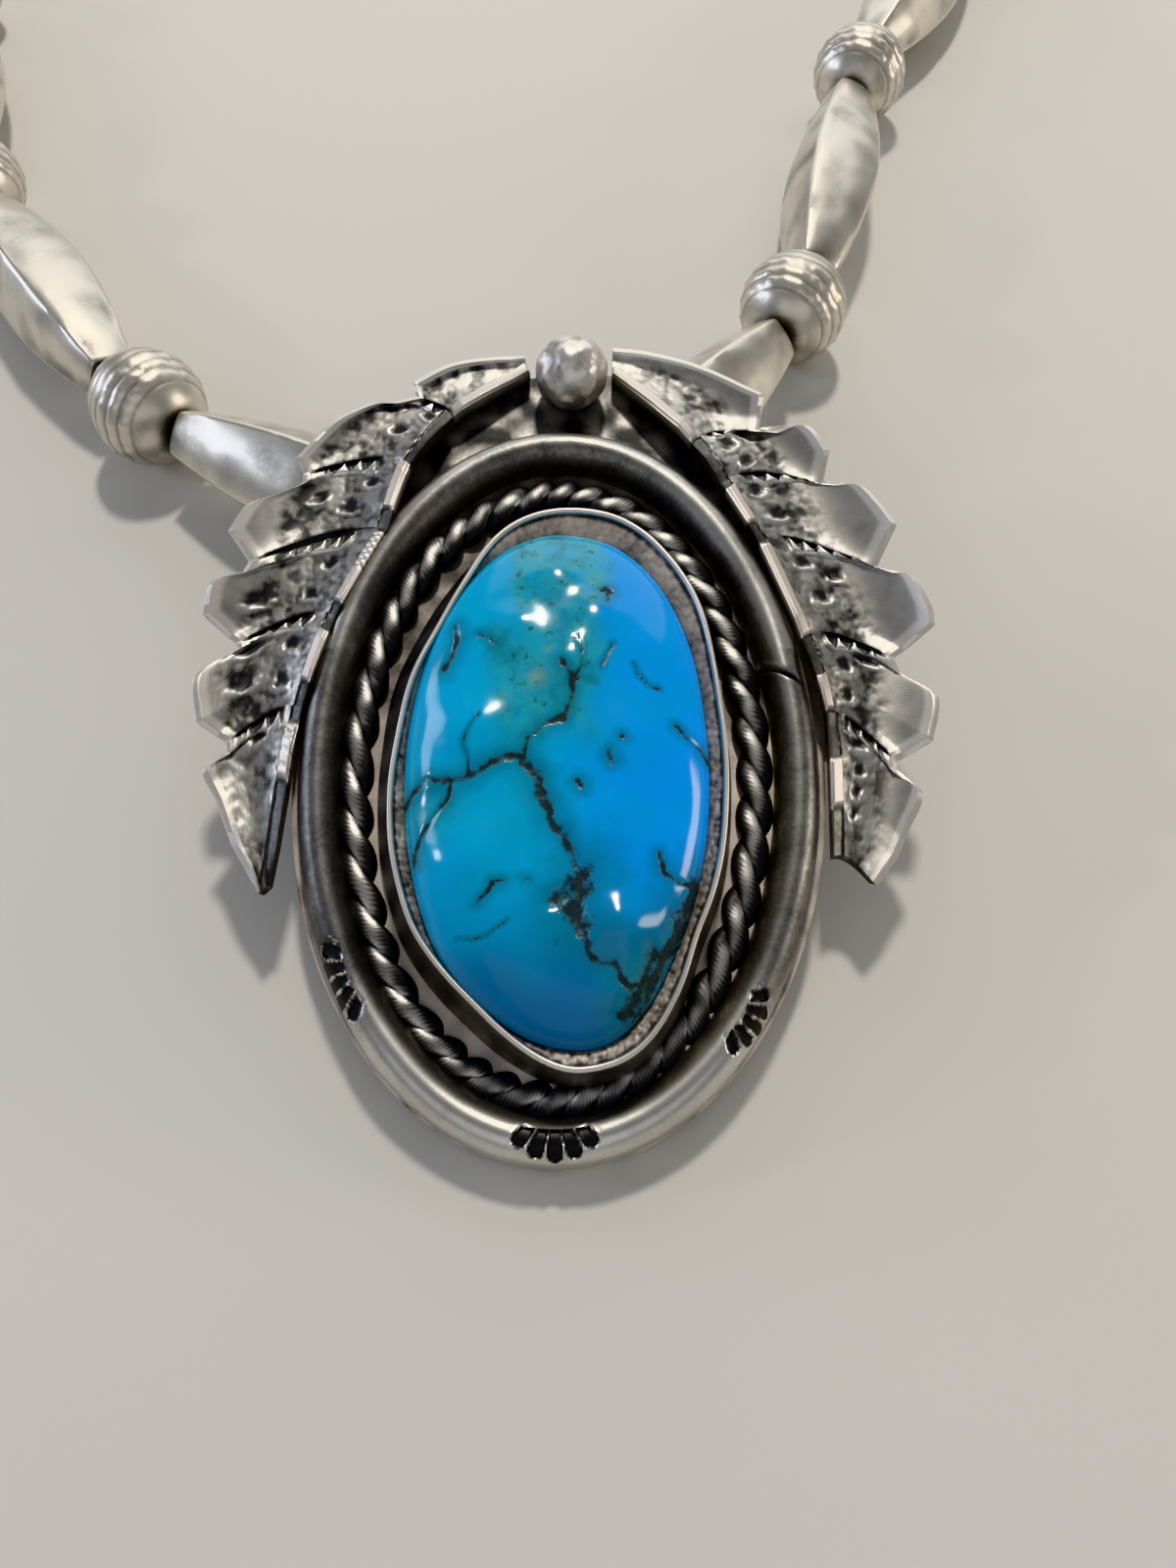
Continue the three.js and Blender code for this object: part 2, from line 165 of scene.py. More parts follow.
RIGHT_LEAF = [
    Lobe((2.8, 28.1), (5.0, 27.8), (8.3, 26.7), (11.7, 24.4), (11.4, 22.2), (7.6, 21.2), (0.0, 0.98)),
    Lobe((12.8, 22.1), (13.9, 22.3), (14.6, 21.7), (15.3, 20.4), (14.9, 18.6), (9.1, 18.3), (0.0, 0.0)),
    Lobe((16.0, 18.3), (17.0, 18.1), (17.9, 16.7), (18.6, 15.2), (17.5, 13.0), (10.9, 14.9), (0.15, 0.77)),
    Lobe((18.5, 12.4), (19.4, 12.0), (20.1, 10.2), (20.2, 9.1), (18.1, 7.6), (13.2, 8.7), (0.1, 1.0)),
    Lobe((18.4, 6.7), (19.9, 5.5), (20.1, 4.4), (19.6, 2.5), (17.8, 1.6), (14.3, 4.4), (0.55, 0.97)),
    Lobe((17.7, 0.8), (18.9, -0.3), (18.0, -2.4), (17.3, -3.8), (16.2, -5.2), (14.2, -3.4), (0.35, 0.68)),
]
LEAF_SHEET = 0.8
LEAF_MIDDLE = 1.65
LEAF_RISE = 1.4
GROOVE_BULGE = 1.4
# The smooth outer part of each leaf starts this far across its widest lobes.
LEFT_SATIN = 0.78
RIGHT_SATIN = 0.62

# Punched hollows of a leaf: the lobe, the place across and along it, and the radius.
Pit = namedtuple("Pit", "lobe across along radius")
LEFT_PITS = [
    Pit(1, 0.30, 0.30, 0.35), Pit(1, 0.42, 0.62, 0.4), Pit(2, 0.28, 0.35, 0.35), Pit(2, 0.36, 0.68, 0.42),
    Pit(2, 0.60, 0.55, 0.35), Pit(3, 0.34, 0.40, 0.4), Pit(3, 0.40, 0.75, 0.42), Pit(3, 0.78, 0.66, 0.45),
    Pit(4, 0.36, 0.36, 0.45), Pit(4, 0.38, 0.72, 0.42), Pit(4, 0.74, 0.30, 0.5), Pit(4, 0.72, 0.62, 0.45),
    Pit(5, 0.55, 0.18, 0.4), Pit(5, 0.15, 0.38, 0.28), Pit(5, 0.15, 0.52, 0.28), Pit(5, 0.18, 0.66, 0.28),
    Pit(5, 0.3, 0.82, 0.28),
]
RIGHT_PITS = [
    Pit(1, 0.34, 0.45, 0.42), Pit(1, 0.42, 0.8, 0.35), Pit(2, 0.30, 0.30, 0.4), Pit(2, 0.34, 0.66, 0.45),
    Pit(3, 0.32, 0.30, 0.4), Pit(3, 0.36, 0.62, 0.45), Pit(3, 0.52, 0.40, 0.35), Pit(4, 0.36, 0.42, 0.45),
    Pit(4, 0.36, 0.74, 0.42), Pit(4, 0.60, 0.30, 0.4), Pit(5, 0.40, 0.22, 0.45), Pit(5, 0.40, 0.42, 0.3),
    Pit(5, 0.40, 0.56, 0.3), Pit(5, 0.40, 0.70, 0.3),
]

# Lines of dark matrix in the stone, each with its half width.
Vein = namedtuple("Vein", "half_width points")
VEINS = [
    Vein(
        0.16, [(-7.6, -1.6), (-6.5, -0.5), (-5.1, -0.8), (-4.2, -0.5), (-3.3, 0.1), (-2.3, 0.4), (-1.5, 0.5)]
    ),
    Vein(0.12, [(-1.5, 0.5), (-1.4, 1.4), (-0.7, 2.1), (0.3, 2.5), (0.7, 3.7), (0.7, 4.7), (0.2, 5.6)]),
    Vein(0.22, [(-1.7, 0.4), (-1.0, -0.5), (-0.5, -1.9), (0.0, -3.0), (0.6, -4.0), (1.0, -5.0)]),
    Vein(0.45, [(1.3, -5.4), (1.1, -6.3), (0.9, -7.0), (1.2, -7.9)]),
    Vein(0.25, [(1.0, -6.4), (0.4, -6.6), (-0.1, -6.6)]),
    Vein(0.16, [(1.2, -7.9), (1.6, -9.1), (2.2, -9.6), (2.8, -9.8)]),
    Vein(
        0.36, [(6.9, -5.7), (6.3, -6.8), (5.7, -8.2), (5.2, -9.4), (4.5, -10.4), (4.1, -11.6), (3.5, -12.8)]
    ),
    Vein(0.12, [(5.0, -4.4), (5.1, -5.2), (5.8, -5.7), (6.9, -5.7)]),
    Vein(0.3, [(4.7, -9.0), (4.1, -10.4), (3.3, -12.0)]),
    Vein(0.17, [(2.8, -9.8), (3.5, -10.5), (4.2, -10.3)]),
    Vein(0.10, [(-5.1, -1.0), (-5.9, -2.4), (-6.7, -3.5), (-6.9, -4.7)]),
    Vein(0.16, [(-5.3, 7.9), (-5.1, 7.1), (-5.5, 6.2), (-5.8, 5.4)]),
    Vein(0.09, [(-4.2, 7.4), (-3.5, 7.1), (-3.2, 6.7)]),
    Vein(0.10, [(-3.6, -6.8), (-3.0, -6.0), (-2.4, -5.8)]),
    Vein(0.09, [(5.9, 2.2), (7.0, 1.5), (7.6, 0.8)]),
    Vein(0.09, [(2.1, 9.9), (2.5, 9.5), (2.7, 9.0)]),
    Vein(0.10, [(3.2, 1.6), (3.25, 1.5)]),
    Vein(0.12, [(2.7, 0.6), (2.8, 0.2)]),
    Vein(0.13, [(1.0, -0.8), (1.2, -1.0)]),
    Vein(0.09, [(0.1, -8.7), (0.15, -8.8)]),
    Vein(0.09, [(-1.3, -5.7), (-1.2, -5.7)]),
    Vein(0.06, [(1.0, 6.8), (1.3, 6.0), (1.3, 5.3), (0.9, 4.6), (1.9, 4.4)]),
    Vein(0.05, [(4.0, 5.5), (4.15, 4.9), (4.6, 4.4), (5.2, 4.3)]),
    Vein(0.05, [(2.8, 6.6), (2.2, 5.3)]),
    Vein(0.13, [(2.5, 9.9), (2.7, 9.7)]),
    Vein(0.05, [(-3.9, 2.6), (-4.6, 1.2), (-4.2, -0.4)]),
    Vein(0.04, [(-2.2, -7.7), (-3.0, -8.3), (-3.8, -8.5), (-4.6, -8.3)]),
]

# Veins with a half width over this lie deep in the stone.
WIDE_VEIN = 0.2

# The stone's nuggets, between the veins.
Nugget = namedtuple("Nugget", "x y radius height")
NUGGETS = [
    Nugget(-4.4, 2.0, 1.9, 0.54), Nugget(-2.05, 7.95, 1.1, 0.24), Nugget(-0.2, 11.1, 1.4, 0.3),
    Nugget(2.05, 8.5, 1.4, 0.3), Nugget(0.63, 5.75, 1.6, 0.4), Nugget(5.0, 6.6, 1.9, 0.22),
    Nugget(3.8, 1.4, 2.4, 0.3), Nugget(2.6, -2.6, 1.8, 0.22), Nugget(-4.2, -4.4, 2.0, 0.46),
    Nugget(-6.2, -0.4, 0.9, 0.17), Nugget(-2.4, -9.2, 2.4, 0.34), Nugget(3.15, -7.9, 1.4, 0.68),
    Nugget(3.0, -11.2, 1.2, 0.2), Nugget(-1.6, -2.6, 1.1, 0.1),
]

# Chalky spots in the stone.
Spot = namedtuple("Spot", "x y size strength")
PALE_SPOTS = [
    Spot(-1.0, 4.7, 0.5, 0.8), Spot(-0.4, 6.2, 0.3, 0.4), Spot(0.4, 9.0, 0.35, 0.35),
    Spot(4.0, -10.6, 0.5, 0.4),
]


# How many steps each shape is drawn in.
PLATE_STEPS = 360
RIM_STEPS = 1080
ROPE_STEPS = 1260
WIRE_SIDES = 14
BEZEL_STEPS = 900
BALL_STEPS = 96
STONE_STEPS = 212
TUBE_STEPS = 64
ROUND_BEAD_STEPS = 72


# ---- colours and materials ---------------------------------------------------


def linear(code):
    """Linear RGBA of an sRGB hex colour."""
    channels = [int(code[i : i + 2], 16) / 255 for i in (1, 3, 5)]
    return [c / 12.92 if c <= 0.04045 else ((c + 0.055) / 1.055) ** 2.4 for c in channels] + [1.0]


def add_node(material, kind, output, inputs, **settings):
    """Adds a node with its settings, gives each input its value or its link, and returns one output."""
    tree = material.node_tree
    node = tree.nodes.new("ShaderNode" + kind)
    for key, value in settings.items():
        setattr(node, key, value)
    for key, value in inputs.items():
        if isinstance(value, bpy.types.NodeSocket):
            tree.links.new(value, node.inputs[key])
        else:
            node.inputs[key].default_value = value
    return node.outputs[output]


def new_material(name):
    """A new material's shader inputs, its own add_node, its link maker and its Object coordinates."""
    material = bpy.data.materials.new(name)
    material.use_nodes = True
    shader = material.node_tree.nodes["Principled BSDF"].inputs
    node = partial(add_node, material)
    return shader, node, material.node_tree.links.new, node("TexCoord", "Object", {})


def silver_material(name, bright, dark, blush, polish):
    """Hand-worked sterling silver: dark oxide in its recesses, high places that are rubbed bright, and
    painted shade and painted highlights carried in the same mark.
    """
    shader, node, join, place = new_material(name)
    tarnish = node("Attribute", "Fac", {}, attribute_name="tarnish")
    warmth = node("Attribute", "Fac", {}, attribute_name="warmth")
    # Patches of oxide about 1.2 mm across, and grains of 0.25 mm.
    patches = node("TexNoise", 0, {"Vector": place, "Scale": 1 / (1.2 * MM), "Detail": 4, "Roughness": 0.6})
    grains = node("TexNoise", 0, {"Vector": place, "Scale": 1 / (0.25 * MM), "Detail": 3, "Roughness": 0.65})
    patchy = node("Math", 0, {0: patches, 1: 0.5, 2: -0.25}, operation="MULTIPLY_ADD")
    grainy = node("Math", 0, {0: grains, 1: 0.35, 2: -0.175}, operation="MULTIPLY_ADD")
    both = node("Math", 0, {0: patchy, 1: grainy}, operation="ADD")
    # The oxide is patchy where it is neither full nor gone.
    spared = node("Math", 0, {0: tarnish, 1: 0.5}, operation="SUBTRACT")
    square = node("Math", 0, {0: spared, 1: spared}, operation="MULTIPLY")
    loose = node("MapRange", 0, {"Value": square, "From Min": 0.25, "From Max": 0.05, "To Min": 0.12})
    broken = node("Math", 0, {0: both, 1: loose}, operation="MULTIPLY")
    oxide = node("Math", 0, {0: tarnish, 1: broken}, operation="ADD", use_clamp=True)
    warm = node("Mix", 2, {0: warmth, 6: bright, 7: blush}, data_type="RGBA")
    colour = node("Mix", 2, {0: oxide, 6: warm, 7: dark}, data_type="RGBA")
    join(colour, shader["Base Color"])
    rough = node("MapRange", 0, {"Value": oxide, "To Min": polish, "To Max": 0.5})
    rougher = node("Math", 0, {0: warmth, 1: 0.2, 2: rough}, operation="MULTIPLY_ADD")
    speckled = node("Math", 0, {0: grains, 1: 0.12, 2: -0.06}, operation="MULTIPLY_ADD")
    join(node("Math", 0, {0: rougher, 1: speckled}, operation="ADD"), shader["Roughness"])
    # Fine file and polishing marks, drawn at 0.12 mm so that they show.
    marks = node("TexNoise", 0, {"Vector": place, "Scale": 1 / (0.12 * MM), "Detail": 2, "Roughness": 0.5})
    join(node("Bump", "Normal", {"Height": marks, "Strength": 0.35, "Distance": 0.01 * MM}), shader["Normal"])
    # Pickled silver beside solder is white and matt rather than bright.
    join(node("Math", 0, {0: warmth, 1: -0.55, 2: 1.0}, operation="MULTIPLY_ADD"), shader["Metallic"])


def turquoise_material(name, blue, green, deep, matrix):
    """Polished turquoise: a waxy blue with clouds, a dull brown-black matrix in its veins, and painted shade
    towards its bottom.
    """
    shader, node, join, place = new_material(name)
    vein, cloud, side, pale, dusk = (
        node("Attribute", "Fac", {}, attribute_name=mark)
        for mark in ("vein", "cloud", "side", "pale", "dusk")
    )
    # Washes of colour about 4.5 mm across, veils of 1.7 mm, and clouds and flecks of 0.8 mm.
    wide = node("TexNoise", 0, {"Vector": place, "Scale": 1 / (4.5 * MM), "Detail": 3, "Roughness": 0.55})
    veils = node("TexNoise", 0, {"Vector": place, "Scale": 1 / (1.7 * MM), "Detail": 4, "Roughness": 0.65})
    fine = node("TexNoise", 0, {"Vector": place, "Scale": 1 / (0.8 * MM), "Detail": 5, "Roughness": 0.7})
    lift = node("MapRange", 0, {"Value": wide, "From Min": 0.35, "From Max": 0.7, "To Max": 0.4})
    # Painted shade darkens the stone towards its bottom.
    painted_bottom_shade = node("Math", 0, {0: dusk, 1: 0.85}, operation="MULTIPLY")
    mottle = node("Math", 0, {0: fine, 1: 2.6, 2: -0.5}, operation="MULTIPLY_ADD")
    misty = node("Math", 0, {0: cloud, 1: mottle}, operation="MULTIPLY", use_clamp=True)
    thick = node("MapRange", 0, {"Value": veils, "From Min": 0.46, "From Max": 0.6, "To Max": 0.6})
    murk = node("Math", 0, {0: cloud, 1: thick}, operation="MULTIPLY")
    # Peppery flecks of matrix, thickest in the clouds.
    dust = node("Math", 0, {0: cloud, 1: 0.11, 2: fine}, operation="MULTIPLY_ADD")
    flecked = node("MapRange", 0, {"Value": dust, "From Min": 0.7, "From Max": 0.78, "To Max": 0.8})
    # The veins' edges are ragged, and the blue is stained beside them.
    ragged = node("Math", 0, {0: fine, 1: 5.0, 2: -2.5}, operation="MULTIPLY_ADD")
    wavering = node("Math", 0, {0: vein, 1: ragged}, operation="ADD")
    stain = node("MapRange", 0, {"Value": wavering, "From Min": 6.5, "From Max": 0.9, "To Max": 0.66})
    line = node("MapRange", 0, {"Value": wavering, "From Min": 1.25, "From Max": 0.45, "To Max": 0.92})
    speck = node("MapRange", 0, {"Value": fine, "From Min": 0.45, "From Max": 0.7})
    rock = node("Mix", 2, {0: speck, 6: matrix, 7: linear("#4C5246")}, data_type="RGBA")
    colour = blue
    for amount, over in (
        (side, deep), (lift, green), (painted_bottom_shade, linear("#0560A2")), (misty, linear("#3FA6B6")),
        (murk, linear("#157A96")), (pale, linear("#86AFA9")), (flecked, linear("#12505E")),
        (stain, linear("#1B6F80")), (line, rock),
    ):
        colour = node("Mix", 2, {0: amount, 6: colour, 7: over}, data_type="RGBA")
    join(colour, shader["Base Color"])
    join(node("MapRange", 0, {"Value": line, "To Min": 0.15, "To Max": 0.7}), shader["Roughness"])
    polish = node("Math", 0, {0: fine, 1: 0.2}, operation="MULTIPLY")
    height = node("Math", 0, {0: line, 1: -1.0, 2: polish}, operation="MULTIPLY_ADD")
    join(node("Bump", "Normal", {"Height": height, "Strength": 0.3, "Distance": 0.05 * MM}), shader["Normal"])
    shader["IOR"].default_value = 1.55


def cable_material(name):
    """Grey nylon-coated beading cable: a soft sheen over fine twisted steel."""
    shader, node, join, place = new_material(name)
    # Strands of wire lie about 0.9 mm apart along the cable.
    coil = {"Vector": place, "Scale": 1 / (0.9 * MM), "Distortion": 0.4}
    twist = node("TexWave", "Fac", coil, bands_direction="DIAGONAL")
    colour = node("Mix", 2, {0: twist, 6: linear("#5A5957"), 7: linear("#9A9894")}, data_type="RGBA")
    join(colour, shader["Base Color"])
    shader["Metallic"].default_value = 0.7
    shader["Roughness"].default_value = 0.4


def floor_material(name, colour):
    """Plain matt studio board, with a tooth of 2 mm that only breaks up its sheen."""
    shader, node, join, place = new_material(name)
    tooth = node("TexNoise", 0, {"Vector": place, "Scale": 1 / (2 * MM), "Detail": 3})
    join(node("Bump", "Normal", {"Height": tooth, "Strength": 0.05, "Distance": 0.02 * MM}), shader["Normal"])
    shader["Base Color"].default_value = colour
    shader["Roughness"].default_value = 0.75


# ---- shaping helpers ---------------------------------------------------------


def smooth_step(low, high, value):
    """0 below low, 1 above high, and an even curve between them."""
    part = np.clip((value - low) / (high - low), 0, 1)
    return part * part * (3 - 2 * part)


def hump(distance, width):
    """1 at no distance, falling off over width."""
    return np.exp(-((distance / width) ** 2))


def grain(x, y, size, seed=0.0):
    """Smooth noise between -1 and 1 at points of a plane, with features of that size."""
    values = [noise.noise((p / size, q / size, seed)) for p, q in zip(x, y)]
    return np.array(values)


def ring_grain(turn, often, seed=0.0):
    """Smooth noise round a ring, with that many features to a radian."""
    return grain(often * np.cos(turn), often * np.sin(turn), 1.0, seed)


def sheet(columns, rows):
    """A unit square sheet with an upper and a lower skin, closed round its edge: 0 to 1 each way."""
    bm = bmesh.new()
    bmesh.ops.create_grid(bm, x_segments=columns, y_segments=rows, size=0.5)
    bmesh.ops.translate(bm, verts=bm.verts, vec=(0.5, 0.5, 0.0))
    skin = bmesh.ops.extrude_face_region(bm, geom=bm.faces[:])
    upper = [item for item in skin["geom"] if isinstance(item, bmesh.types.BMVert)]
    bmesh.ops.translate(bm, verts=upper, vec=(0.0, 0.0, 1.0))
    return bm


def turned(profile, steps, closed):
    """A profile of (radius, height) spun round the upright axis."""
    bm = bmesh.new()
    verts = [bm.verts.new((radius, 0.0, height)) for radius, height in profile]
    edges = [bm.edges.new(pair) for pair in zip(verts, verts[1:])]
    if closed:
        edges.append(bm.edges.new((verts[-1], verts[0])))
    bmesh.ops.spin(
        bm, geom=verts + edges, cent=(0, 0, 0), axis=UPWARDS, angle=math.tau, steps=steps, use_merge=True
    )
    bmesh.ops.remove_doubles(bm, verts=bm.verts, dist=1e-5)
    return bm


def both_ends(upper, between=()):
    """A profile whose lower end mirrors its upper end, which is given from its tip inwards."""
    return [(radius, -height) for radius, height in upper] + list(between) + upper[::-1]


# A ring is spun at this radius before it is bent round its oval.
RING = 30.0


def ring(section, steps):
    """A closed section of (out, up) spun into a ring."""
    return turned([(RING + out, up) for out, up in section], steps, True)


def on_ring(x, y):
    """The turn of a spun ring's points, and how far out on it they are."""
    return np.arctan2(y, x), np.hypot(x, y) - RING


def beside_oval(oval, turn, out):
    """The place beside an oval, straight out from it."""
    across, up = np.cos(turn) / oval.half_width, np.sin(turn) / oval.half_height
    length = np.hypot(across, up)
    x = oval.half_width * np.cos(turn) + out * across / length
    y = oval.middle + oval.half_height * np.sin(turn) + out * up / length
    return x, y


def finish_piece(name, bm, place, matrix, material, nodes, sharp=40.0):
    """Places a shape's points, sets their marks, and makes it a piece that stands for CAD nodes."""
    mesh = bpy.data.meshes.new(name)
    bm.to_mesh(mesh)
    bm.free()
    points = np.empty((len(mesh.vertices), 3), np.float32)
    mesh.vertices.foreach_get("co", points.ravel())
    x, y, z, marks = place(*points.astype(float).T)
    mesh.vertices.foreach_set("co", np.stack([x, y, z], 1).astype(np.float32).ravel())
    for mark, values in marks.items():
        layer = mesh.attributes.new(mark, "FLOAT", "POINT")
        layer.data.foreach_set("value", np.broadcast_to(values, len(points)).astype(np.float32))
    mesh.transform(matrix)
    shell = bmesh.new()
    shell.from_mesh(mesh)
    bmesh.ops.recalc_face_normals(shell, faces=shell.faces)
    shell.to_mesh(mesh)
    shell.free()
    mesh.shade_smooth()
    mesh.set_sharp_from_angle(angle=math.radians(sharp))
    mesh.materials.append(material_named(material))
    piece = bpy.data.objects.new(name, mesh)
    bpy.context.scene.collection.objects.link(piece)
    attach(piece, "root")
    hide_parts(*nodes)


def material_named(name):
    """One of this scene's own materials, made on first use."""
    colours = bpy.context.scene.necklace_colours
    if name not in bpy.data.materials:
        if name == "oxidised_sterling_silver":
            silver_material(name, colours.silver, colours.oxide, colours.blush, polish=0.32)
        elif name == "satin_sterling_silver":
            silver_material(name, colours.bead_silver, colours.oxide, colours.blush, polish=0.3)
        elif name == "polished_turquoise":
            turquoise_material(
                name, colours.turquoise, colours.green_turquoise, colours.deep_turquoise, colours.matrix
            )
        elif name == "beading_cable":
            cable_material(name)
        elif name == "matt_studio_board":
            floor_material(name, colours.floor)
    return bpy.data.materials[name]


# ---- the pendant ---------------------------------------------------------------


def pendant_matrix():
    """From the pendant's plane, in millimetres, to its place in metres."""
    mount = frame["record"]["mounts"][0]
    axis = mount["axis"]
    tilt = Matrix.Rotation(math.atan2(axis[1], -axis[2]), 4, "X")
    middle = Vector(mount["pos_m"]) + tilt @ Vector((0.0, MOUNT_BELOW_MIDDLE * MM, 0.0))
    return Matrix.Translation(middle) @ tilt @ Matrix.Scale(MM, 4)


def setting_piece(name, bm, place, sharp=40.0):
    """A silver piece of the pendant."""
    silver = "oxidised_sterling_silver"
    finish_piece(name, bm, place, pendant_matrix(), silver, ["pendant_setting"], sharp)


def oval_reach(oval, centre, turn):
    """How far an oval's edge is from a point inside it, in each direction."""
    dx, dy = np.cos(turn) / oval.half_width, np.sin(turn) / oval.half_height
    px, py = centre[0] / oval.half_width, (centre[1] - oval.middle) / oval.half_height
    square, half, rest = dx * dx + dy * dy, px * dx + py * dy, px * px + py * py - 1
    return (-half + np.sqrt(half * half - square * rest)) / square


def polygon_reach(corners, centre, turn):
    """How far a convex polygon's edge is from a point inside it, in each direction."""
    reach = np.full(turn.shape, 1e3)
    for (x0, y0), (x1, y1) in zip(corners, corners[1:] + corners[:1]):
        nx, ny = y1 - y0, x0 - x1
        facing = nx * np.cos(turn) + ny * np.sin(turn)
        distance = nx * (x0 - centre[0]) + ny * (y0 - centre[1])
        reach = np.where(facing > 1e-6, np.minimum(reach, distance / np.maximum(facing, 1e-6)), reach)
    return reach


def build_plate():
    """The flat back plate, with the flange behind the ball and the leaves' roots."""
    circles = [i / 40 * PLATE_FLAT for i in range(40)] + [PLATE_FLAT]
    profile = [(radius, 0.0) for radius in circles]
    profile += [(1.0, PLATE_ROUNDING), (1.0, PLATE - PLATE_ROUNDING)]
    profile += [(radius, PLATE) for radius in reversed(circles)]

    def place(x, y, z):
        turn, part = np.arctan2(y, x), np.hypot(x, y)
        reach = oval_reach(BACK, FLANGE_MIDDLE, turn)
        reach = np.maximum(reach, polygon_reach(FLANGE, FLANGE_MIDDLE, turn))
        x = FLANGE_MIDDLE[0] + part * reach * np.cos(turn)
        y = FLANGE_MIDDLE[1] + part * reach * np.sin(turn)
        inside = np.hypot(x / CHANNEL.half_width, (y - CHANNEL.middle) / CHANNEL.half_height) < 1
        low, high = smooth_step(14.0, 8.0, y), smooth_step(17.5, 19.5, y)
        beside = smooth_step(8.0, -3.0, y)
        mottle = grain(x, y, 1.3, 2.0)
        flange = 0.52 + 0.3 * high - 0.3 * low + 0.9 * mottle
        tarnish = np.where(inside, 0.75 - 0.65 * beside + 0.4 * mottle, flange)
        # Solder has flooded the channel that the rope lies in.
        solder = 0.05 * mottle + (0.35 + 0.3 * beside) * inside
        z = z + np.where(z > PLATE / 2, solder, 0.0)
        warmth = np.where(inside, 0.8, 0.3 + 0.5 * low)
        return x, y, z, {"tarnish": np.clip(tarnish, 0, 1), "warmth": warmth}

    setting_piece("back_plate", turned(profile, PLATE_STEPS, False), place)


def fan_depth(x, y):
    """How deep the punched fans go at points of the rim: 0 to 1."""
    depth = np.zeros(x.shape)
    for fan in FANS:
        nx, ny = fan.x / RIM.half_width**2, (fan.y - RIM.middle) / RIM.half_height**2
        length = math.hypot(nx, ny)
        nx, ny = nx / length, ny / length
        out = ((x - fan.x) * nx + (y - fan.y) * ny) / fan.size + 0.75
        along = (-(x - fan.x) * ny + (y - fan.y) * nx) / fan.size
        radius, angle = np.hypot(along, out + FAN_ROOT), np.arctan2(along, out + FAN_ROOT)
        apart = np.abs(angle / PETAL - np.round(angle / PETAL)) * 2
        outer = 1.62 + 1.05 * np.sqrt(np.clip(1 - apart**3, 0, 1))
        inner = 0.3 - 0.28 * (along / 1.7) ** 2
        inside = smooth_step(0.06, -0.06, radius - outer) * smooth_step(-0.05, 0.05, out - inner)
        inside *= smooth_step(0.08, -0.08, np.abs(angle) - 2.5 * PETAL)
        # A thin wall stands between each petal and the next.
        inside *= 1 - 0.95 * smooth_step(0.72, 0.9, apart) * smooth_step(1.25, 1.6, radius)
        depth = np.maximum(depth, inside * (np.hypot(along, out) < FAN_REACH))
    return depth


def build_rim(sizes):
    """The half-round rim wire, with three fans punched into its foot and the joint where its ends meet."""
    arc = [math.pi * i / 34 for i in range(35)]
    half = RIM_WIDTH / 2
    section = [(half * math.cos(a), PLATE + RIM_HEIGHT * math.sin(a) ** 0.9) for a in arc]
    section += [(out, PLATE - SOLDER_SINK) for out in (-half, 0.0, half)]

    def place(x, y, z):
        turn, out = on_ring(x, y)
        wave = ring_grain(turn, 3)
        x, y = beside_oval(RIM, turn, out * (1 + 0.04 * wave))
        top = smooth_step(PLATE + 0.2, PLATE + 1.2, z)
        fans = fan_depth(x, y)
        # The wire's ends meet askew: the upper one is filed to a point and stands a little proud.
        askew = y - RIM_JOINT[1] + 0.55 * (x - RIM_JOINT[0])
        near = hump(y - RIM_JOINT[1], 2.2) * (x > 0)
        seam = hump(askew, 0.1) * near * smooth_step(0.9, 0.1, out)
        proud = smooth_step(0.0, 0.2, askew) * near * smooth_step(0.7, -0.3, out)
        z = z - sizes.punch_depth / MM * fans * top - 0.3 * seam * top
        z = z + 0.14 * proud * top + 0.05 * wave * top
        foot = smooth_step(-8.0, -14.0, y)
        inner = smooth_step(0.1, -0.9, out)
        # Above y 8 a painted highlight lightens the outer half of the wire's top.
        tarnish = 0.78 - 0.6 * foot + 0.45 * foot * inner - 0.2 * wave - 0.35 * hump(out - 0.5, 0.5) * (y > 8)
        # A painted highlight brightens the right side along its inner slope.
        tarnish -= 0.3 * hump(out + 0.35, 0.3) * smooth_step(3.0, 9.0, x) * smooth_step(-2.0, 6.0, y)
        tarnish -= 0.9 * hump(askew - 0.22, 0.16) * near * inner
        tarnish = np.maximum(tarnish, smooth_step(0.5, 0.9, fans) * 1.15) + 0.5 * seam
        tarnish = np.where((fans > 0.03) & (fans < 0.5), 0.0, tarnish)
        return x, y, z, {"tarnish": np.clip(tarnish, 0, 1.2), "warmth": 0.0}

    setting_piece("outer_rim", ring(section, RIM_STEPS), place, 60.0)


